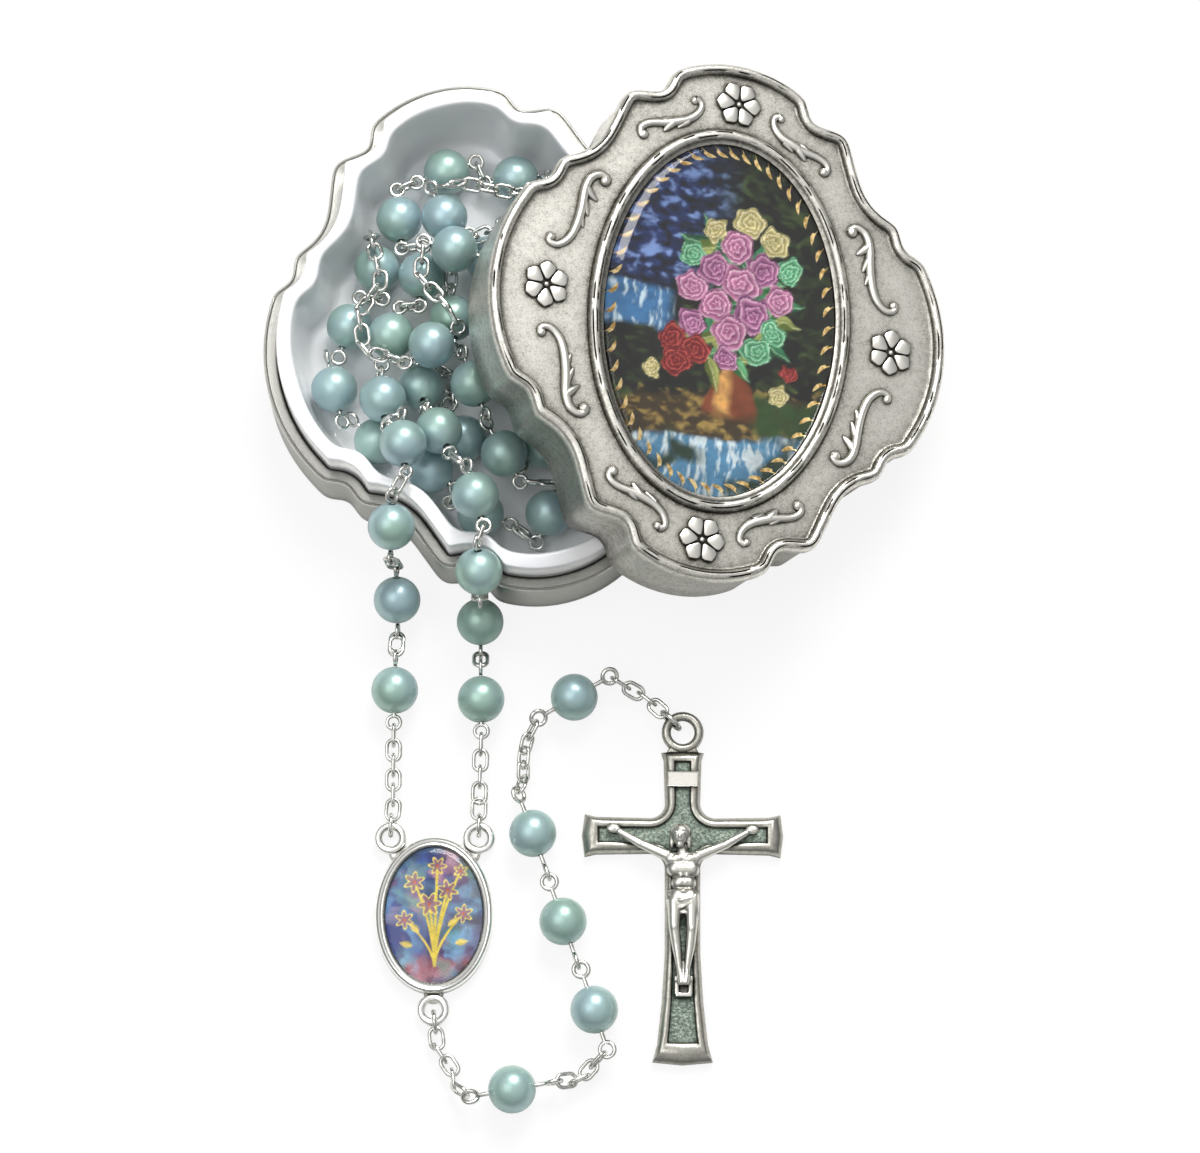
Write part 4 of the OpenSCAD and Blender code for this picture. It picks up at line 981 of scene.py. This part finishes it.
# Cloth, chest, belly, knees, hands and head: one or two places, their height, radius, stretch
masses = [(((0, -21.95),), 2.6, 1.5, (1.42, 1.0, 0.82)),
          (((-0.8, -16.6), (0.9, -16.6)), 3.05, 0.8, (1.15, 0.75, 0.55)),
          (((-0.28, -18.7), (0.45, -18.7)), 3.2, 0.36, (0.9, 1.0, 0.8)),
          (((-0.22, -19.5), (0.42, -19.5)), 3.15, 0.34, (0.9, 1.1, 0.8)),
          (((-1.1, -25.3), (1.1, -25.5)), 3.35, 0.5, (0.9, 1.1, 0.8)),
          (((-8.8, -12.6), (8.8, -12.7)), 2.2, 0.7, (1.25, 0.85, 0.5)),
          (((-0.4, -13.75),), 3.25, 1.1, (0.86, 1.14, 0.8)),
          (((-0.3, -13.2),), 2.7, 1.4, (1.02, 0.86, 0.85)),
          (((-1.4, -14.3), (0.75, -14.3)), 2.8, 0.52, (0.8, 2.0, 0.9)),
          (((-0.4, -14.75),), 3.5, 0.5, (1.05, 1.1, 0.9)),
          (((-0.42, -13.9),), 4.12, 0.2, (0.75, 1.6, 0.9)),
          (((-0.8, -13.35), (0.0, -13.35)), 3.95, 0.24, (1.5, 0.6, 0.7)),
          (((-0.4, -14.35),), 4.0, 0.2, (1.7, 0.5, 0.7))]
# The foot block's bars, as x, y, width, length and height
block_z = 1.35
block_bars = [(0.1, -31.75, 2.3, 0.6, 1.2), (0.1, -33.75, 2.0, 0.5, 1.0),
              (-0.75, -32.7, 0.5, 2.0, 1.0), (0.95, -32.7, 0.5, 2.0, 1.0),
              (0.1, -32.8, 1.8, 2.0, 0.55)]
bm = bmesh.new()
for a, b, r1, r2 in limbs + folds:
    a = Vector(a)
    b = Vector(b)
    way = (b - a).to_track_quat("Z", "Y").to_matrix().to_4x4()
    for at, r in ((a, r1), (b, r2)):
        bmesh.ops.create_uvsphere(bm, u_segments=16, v_segments=10, radius=r,
                                  matrix=Matrix.Translation(at))
    bmesh.ops.create_cone(bm, cap_ends=True, segments=16, radius1=r1, radius2=r2,
                          depth=(b - a).length, matrix=Matrix.Translation((a + b) / 2) @ way)
for places, z, r, stretch in masses:
    for x, y in places:
        bmesh.ops.create_uvsphere(bm, u_segments=20, v_segments=14, radius=r, matrix=(
            Matrix.Translation((x, y, z)) @ Matrix.Diagonal((*stretch, 1))))
for x, y, wide, long, high in block_bars:
    bmesh.ops.create_cube(bm, size=1.0, matrix=(Matrix.Translation((x, y, block_z + high / 2))
                                                @ Matrix.Diagonal((wide, long, high, 1))))
rough_figure = new_object("rough_figure", bm)
remesh = rough_figure.modifiers.new("cast", "REMESH")
remesh.mode = "VOXEL"
remesh.voxel_size = 0.11
soften = rough_figure.modifiers.new("soften", "SMOOTH")
soften.factor = 0.5
soften.iterations = 2
bm = bmesh.new()
bm.from_mesh(rough_figure.evaluated_get(bpy.context.evaluated_depsgraph_get()).to_mesh())
bpy.data.objects.remove(rough_figure)
fitted("cross_corpus", bm, "crucifix", corpus_silver,
       ["crucifix_corpus"], cross_place, sharp=70)

# ---- Title plate ----
# A small cast plate across the stem above the figure. It is left bare: a sunk face inside a
# raised edge.
plate_at = (0, -6.15, 2.03)
plate_size = (3.9, 1.9, 0.4)
plate_edge = 0.16
plate_sunk = 0.09
bm = bmesh.new()
bmesh.ops.create_cube(bm, size=1.0, matrix=(Matrix.Translation(plate_at)
                                            @ Matrix.Diagonal((*plate_size, 1))))
top = [f for f in bm.faces if f.normal.z > 0.9]
bmesh.ops.inset_region(bm, faces=top, thickness=plate_edge, depth=0)
bmesh.ops.translate(bm, verts=[v for f in top for v in f.verts], vec=(0, 0, -plate_sunk))
rounded(bm, [e for e in bm.edges if e.calc_face_angle() > 0.8], offset=0.05, segments=2)
fitted("cross_title_plate", bm, "crucifix", corpus_silver,
       ["crucifix_title_plate"], cross_place, sharp=20)
